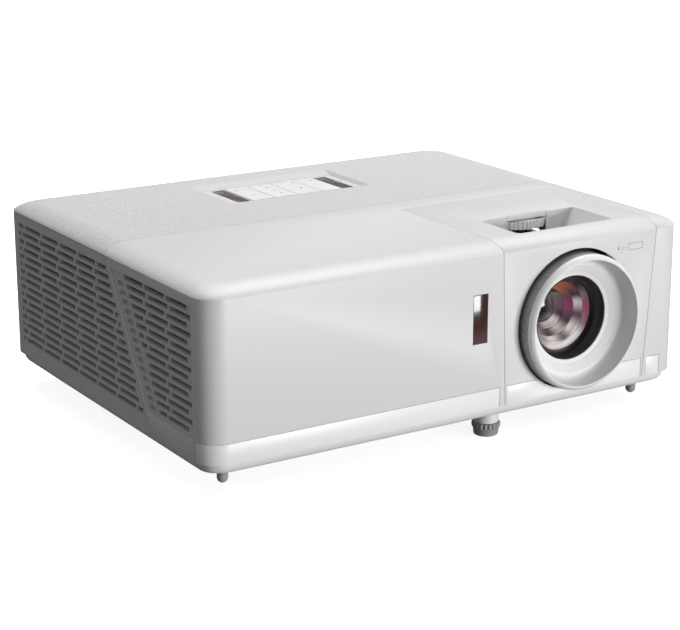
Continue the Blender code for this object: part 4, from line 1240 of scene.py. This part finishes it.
class PROJECTOR_OT_rear(bpy.types.Operator):
    """Model the rear panel, the sockets and what is in them"""
    bl_idname = "projector.rear"
    bl_label = "Rear panel"

    def execute(self, context):
        softened_node("io_panel", 0.2, "panel_grey")
        for node in ("hdmi_port_1", "hdmi_port_2", "usb_port", "vga_port", "serial_port"):
            softened_node(node, 0.15, "nickel")
        for node in ("lan_port", "power_inlet", "audio_in_jack", "audio_out_jack"):
            softened_node(node, 0.2, "black_abs")
        self.tongues()
        self.contacts()
        self.pins()
        self.blades()
        self.fasteners()
        return {'FINISHED'}

    def tongues(self):
        """Contact carriers inside the display and USB sockets."""
        carriers = []
        for x, half, low, high in CARRIERS:
            carrier = block((x - half, x + half), (IO_FLOOR, IO_FACE - 0.6),
                            ups(IO_MID + low, IO_MID + high))
            carriers.append(soften(carrier, 0.15))
        finish(join(carriers), "socket_tongues", "housing", "black_abs")

    def contacts(self):
        """Gold strips of the network and USB sockets."""
        strip = block((-0.25, 0.25), (IO_FLOOR + 0.5, IO_FACE - 2.6), ups(IO_MID + 4.2, IO_MID + 4.7))
        places = [(LAN_X + (i - 3.5) * LAN_PITCH, 0.0, 0.0) for i in range(8)]
        strips = copies(soften(strip, 0.08, 1), places)
        strip = block((-0.5, 0.5), (IO_FLOOR + 1, IO_FACE - 1.4), ups(IO_MID + 0.3, IO_MID + 0.5))
        places = [(USB_X + (i - 1.5) * USB_PITCH, 0.0, 0.0) for i in range(4)]
        strips += copies(soften(strip, 0.05, 1), places)
        finish(join(strips), "socket_contacts", "housing", "gold")

    def pins(self):
        """The holed insert of one D-shaped socket and the pins of the other."""
        insert = block((VIDEO_X - INSERT_HALF_W, VIDEO_X + INSERT_HALF_W), (IO_FLOOR, IO_FACE - 0.4),
                       ups(IO_MID - INSERT_HALF_H, IO_MID + INSERT_HALF_H))
        for row in (2.0, 0.0, -2.0):
            for i in range(5):
                x = VIDEO_X + (i - 2) * VIDEO_PITCH + (0.6 if row == 0.0 else 0.0)
                cut(insert, rod(1, (x, 0.0, up(IO_MID + row)), 0.55, IO_FACE - 3, REAR, 12))
        finish(soften(insert, 0.12, 1), "display_insert", "housing", "port_blue")
        outline = [(0.0, IO_FLOOR), (0.5, IO_FLOOR), (0.5, IO_FACE - 1.2), (0.3, IO_FACE - 0.8),
                   (0.0, IO_FACE - 0.7)]
        places = [(SERIAL_X + (i - (count - 1) / 2) * SERIAL_PITCH, 0.0, up(IO_MID + row))
                  for row, count in ((1.4, 5), (-1.4, 4)) for i in range(count)]
        pin = turned(1, (0.0, 0.0, 0.0), outline, 12)
        finish(join(copies(pin, places)), "serial_pins", "housing", "gold")

    def blades(self):
        """The three blades of the power inlet."""
        blade = soften(block((-1.0, 1.0), (IO_FLOOR, IO_FACE - 1.4), (-2.0, 2.0)), 0.3)
        places = [(x, 0.0, up(IO_MID + height)) for x, height in INLET_BLADES]
        finish(join(copies(blade, places)), "inlet_blades", "housing", "nickel")

    def fasteners(self):
        """Hexagonal posts beside the D-shaped sockets and the panel's screws."""
        outline = [(1.3, IO_FACE - 0.5), (2.5, IO_FACE - 0.5), (2.5, IO_FACE + 2.2), (2.2, IO_FACE + 2.6),
                   (1.3, IO_FACE + 2.6)]
        post = turned(1, (0.0, 0.0, 0.0), outline, 6)
        posts = copies(post, [(x, 0.0, up(IO_MID)) for x in POST_X])
        screw = rod(1, (0.0, 0.0, 0.0), SCREW_R, IO_FACE + 0.05, IO_FACE + 1.3, 32)
        soften(screw, 0.5)
        for wide, tall in ((1.5, 0.25), (0.25, 1.5)):
            cut(screw, block((-wide, wide), (IO_FACE + 0.7, IO_FACE + 3), (-tall, tall)))
        screws = copies(screw, [(x, 0.0, up(height)) for x in SCREW_X for height in SCREW_H])
        finish(join(posts + screws), "rear_fasteners", "housing", "nickel")


class PROJECTOR_OT_inner(bpy.types.Operator):
    """Give the modules behind the grilles their finishes"""
    bl_idname = "projector.inner"
    bl_label = "Inner modules"

    def execute(self, context):
        coats = {
            "cast_aluminium": ("light_engine", "laser_module", "power_supply", "lens_carriage",
                               "phosphor_wheel", "heat_sink"),
            "solder_mask": ("main_board",),
            "black_abs": ("speaker", "fan_frame_left", "fan_frame_right", "fan_rotor_left",
                          "fan_rotor_right"),
        }
        for coat, nodes in coats.items():
            for node in nodes:
                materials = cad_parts[node].data.materials
                for index in range(len(materials)):
                    materials[index] = FINISH[coat]
        return {'FINISHED'}


class PROJECTOR_PT_panel(bpy.types.Panel):
    """Lists the projector's makers and settings"""
    bl_label = "Home Projector"
    bl_space_type = 'VIEW_3D'
    bl_region_type = 'UI'
    bl_category = "Projector"

    def draw(self, context):
        column = self.layout.column()
        for group in (context.scene.projector_sizes, context.scene.projector_colours):
            for key in group.bl_rna.properties.keys():
                if key not in ("rna_type", "name"):
                    column.prop(group, key)
        for maker in MAKERS:
            column.operator(maker.bl_idname)


GROUPS = (ProjectorSizes, ProjectorColours)
MAKERS = (PROJECTOR_OT_stage, PROJECTOR_OT_covers, PROJECTOR_OT_bottom_case, PROJECTOR_OT_grilles,
          PROJECTOR_OT_trim, PROJECTOR_OT_keypad, PROJECTOR_OT_lens, PROJECTOR_OT_dial,
          PROJECTOR_OT_feet, PROJECTOR_OT_rear, PROJECTOR_OT_inner)


def register():
    for kind in GROUPS + MAKERS + (PROJECTOR_PT_panel,):
        bpy.utils.register_class(kind)
    bpy.types.Scene.projector_sizes = PointerProperty(type=ProjectorSizes)
    bpy.types.Scene.projector_colours = PointerProperty(type=ProjectorColours)


def unregister():
    del bpy.types.Scene.projector_colours
    del bpy.types.Scene.projector_sizes
    for kind in reversed(GROUPS + MAKERS + (PROJECTOR_PT_panel,)):
        bpy.utils.unregister_class(kind)


def main():
    register()
    make_finishes()
    bpy.ops.projector.stage()
    bpy.ops.projector.covers()
    bpy.ops.projector.bottom_case()
    bpy.ops.projector.grilles()
    bpy.ops.projector.trim()
    bpy.ops.projector.keypad()
    bpy.ops.projector.lens()
    bpy.ops.projector.dial()
    bpy.ops.projector.feet()
    bpy.ops.projector.rear()
    bpy.ops.projector.inner()
    rest()


if __name__ == "__main__":
    main()
